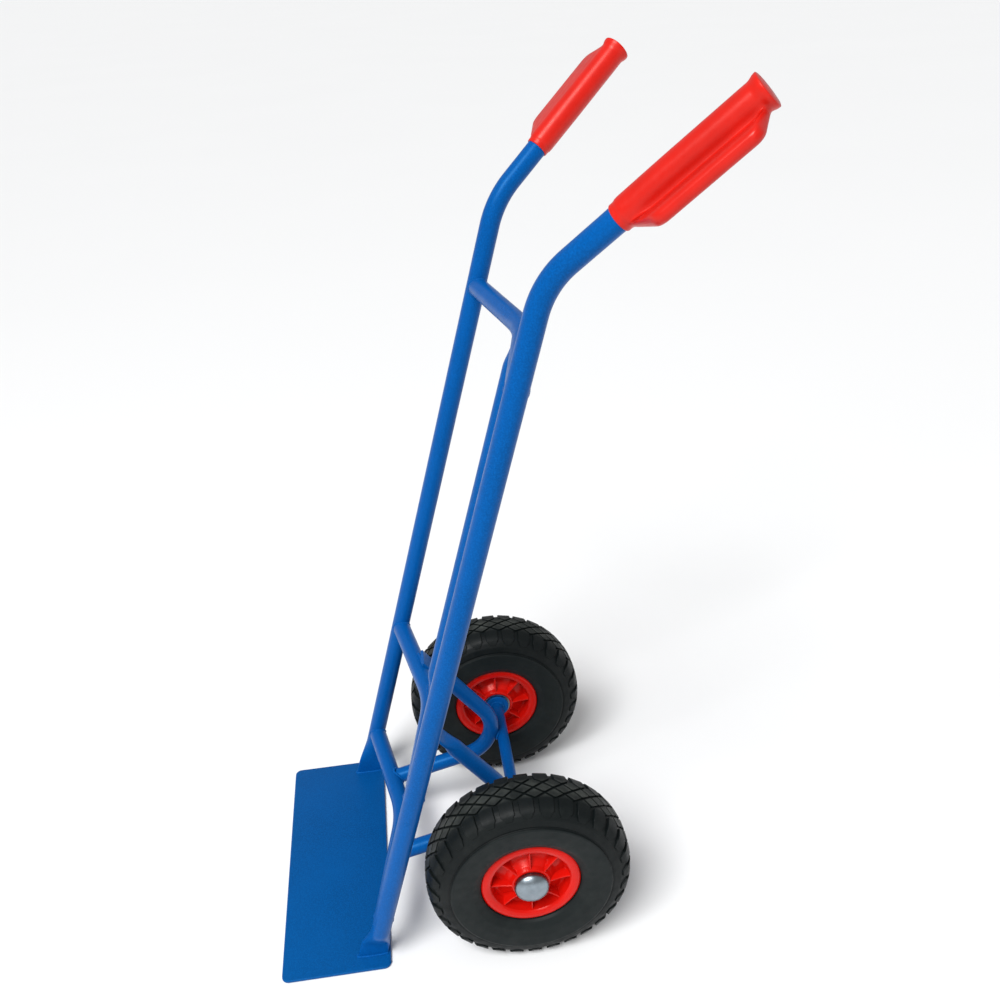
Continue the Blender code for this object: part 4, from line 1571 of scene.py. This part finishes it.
@dataclass(frozen=True)
class SoftBox:
    """A square soft light."""

    name: str
    place: tuple[float, float, float]
    target: tuple[float, float, float]
    size: float
    watts: float

    def build(self) -> None:
        """Adds the light, turned to its target."""
        light = bpy.data.lights.new(self.name, "AREA")
        light.shape = "SQUARE"
        light.size = self.size
        light.energy = self.watts
        obj = link_new(self.name, light)
        obj.location = self.place
        aim = Vector(self.target) - Vector(self.place)
        obj.rotation_euler = aim.to_track_quat("-Z", "Y").to_euler()


@dataclass
class Studio:
    """A pale floor, soft light and the camera."""

    camera_place: tuple[float, float, float] = (1.0836, -0.0451, 1.1517)
    camera_turn: tuple[float, float, float] = (61.536, 3.192, 82.721)
    lens: float = 36.687
    sensor: float = 36.0
    floor_radius: float = 120.0
    floor_drop: float = 0.0004
    floor_sides: int = 64
    daylight: float = 0.40
    sun_turn: tuple[float, float] = (-34.0, 54.0)
    sun_spread: float = 28.0
    sun_strength: float = 2.75
    lights: tuple[SoftBox, ...] = (
        SoftBox("front_light", (2.2, -0.5, 1.9), (0.0, 0.0, 0.45), 2.2, 9.0),
        SoftBox("side_light", (1.2, -1.35, 2.6), (0.0, 0.0, 0.6), 0.8, 18.0),
    )

    def build(self) -> None:
        """Builds the whole studio."""
        self.build_floor()
        self.build_daylight()
        self.build_sun()
        for light in self.lights:
            light.build()
        self.build_camera()

    def build_floor(self) -> None:
        """A wide round floor just below the truck."""
        angles = np.linspace(0, 2 * pi, self.floor_sides, endpoint=False)
        ring = [(self.floor_radius * cos(a), self.floor_radius * sin(a), -self.floor_drop)
                for a in angles]
        floor = make_object("studio_floor", ring, [tuple(range(self.floor_sides))])
        dress(floor, PaleFloor())

    def build_daylight(self) -> None:
        """An even pale surround."""
        world = bpy.data.worlds.new("studio_surround")
        world.use_nodes = True
        surround = world.node_tree.nodes["Background"]
        surround.inputs["Color"].default_value = (1.0, 1.0, 1.0, 1)
        surround.inputs["Strength"].default_value = self.daylight
        bpy.context.scene.world = world

    def build_sun(self) -> None:
        """A soft-edged sun, which lights the whole floor evenly."""
        sun = bpy.data.lights.new("soft_sun", "SUN")
        sun.energy = self.sun_strength
        sun.angle = radians(self.sun_spread)
        azimuth, rise = (radians(angle) for angle in self.sun_turn)
        towards = Vector((cos(azimuth) * cos(rise), sin(azimuth) * cos(rise), sin(rise)))
        link_new("soft_sun", sun).rotation_euler = towards.to_track_quat("Z", "Y").to_euler()

    def build_camera(self) -> None:
        """The camera, near the left wheel's side and a little in front, looking down."""
        data = bpy.data.cameras.new("camera")
        data.lens = self.lens
        data.sensor_width = self.sensor
        data.sensor_fit = "HORIZONTAL"
        camera = link_new("camera", data)
        camera.location = self.camera_place
        camera.rotation_euler = Euler([radians(angle) for angle in self.camera_turn])
        bpy.context.scene.camera = camera


def main() -> None:
    """Builds the truck in order: frame, axle, wheels, grips, then the studio."""
    logging.basicConfig(level=logging.INFO, format="%(message)s")
    bpy.context.scene.view_settings.view_transform = "Standard"
    truck = TubeFrame()
    AxleSet(truck.welds).build()
    truck.build()
    repeat = repeat_tree()
    for side in Side:
        Wheel(side, repeat).build()
        Grip(side, truck).build()
    Studio().build()


if __name__ == "__main__":
    main()
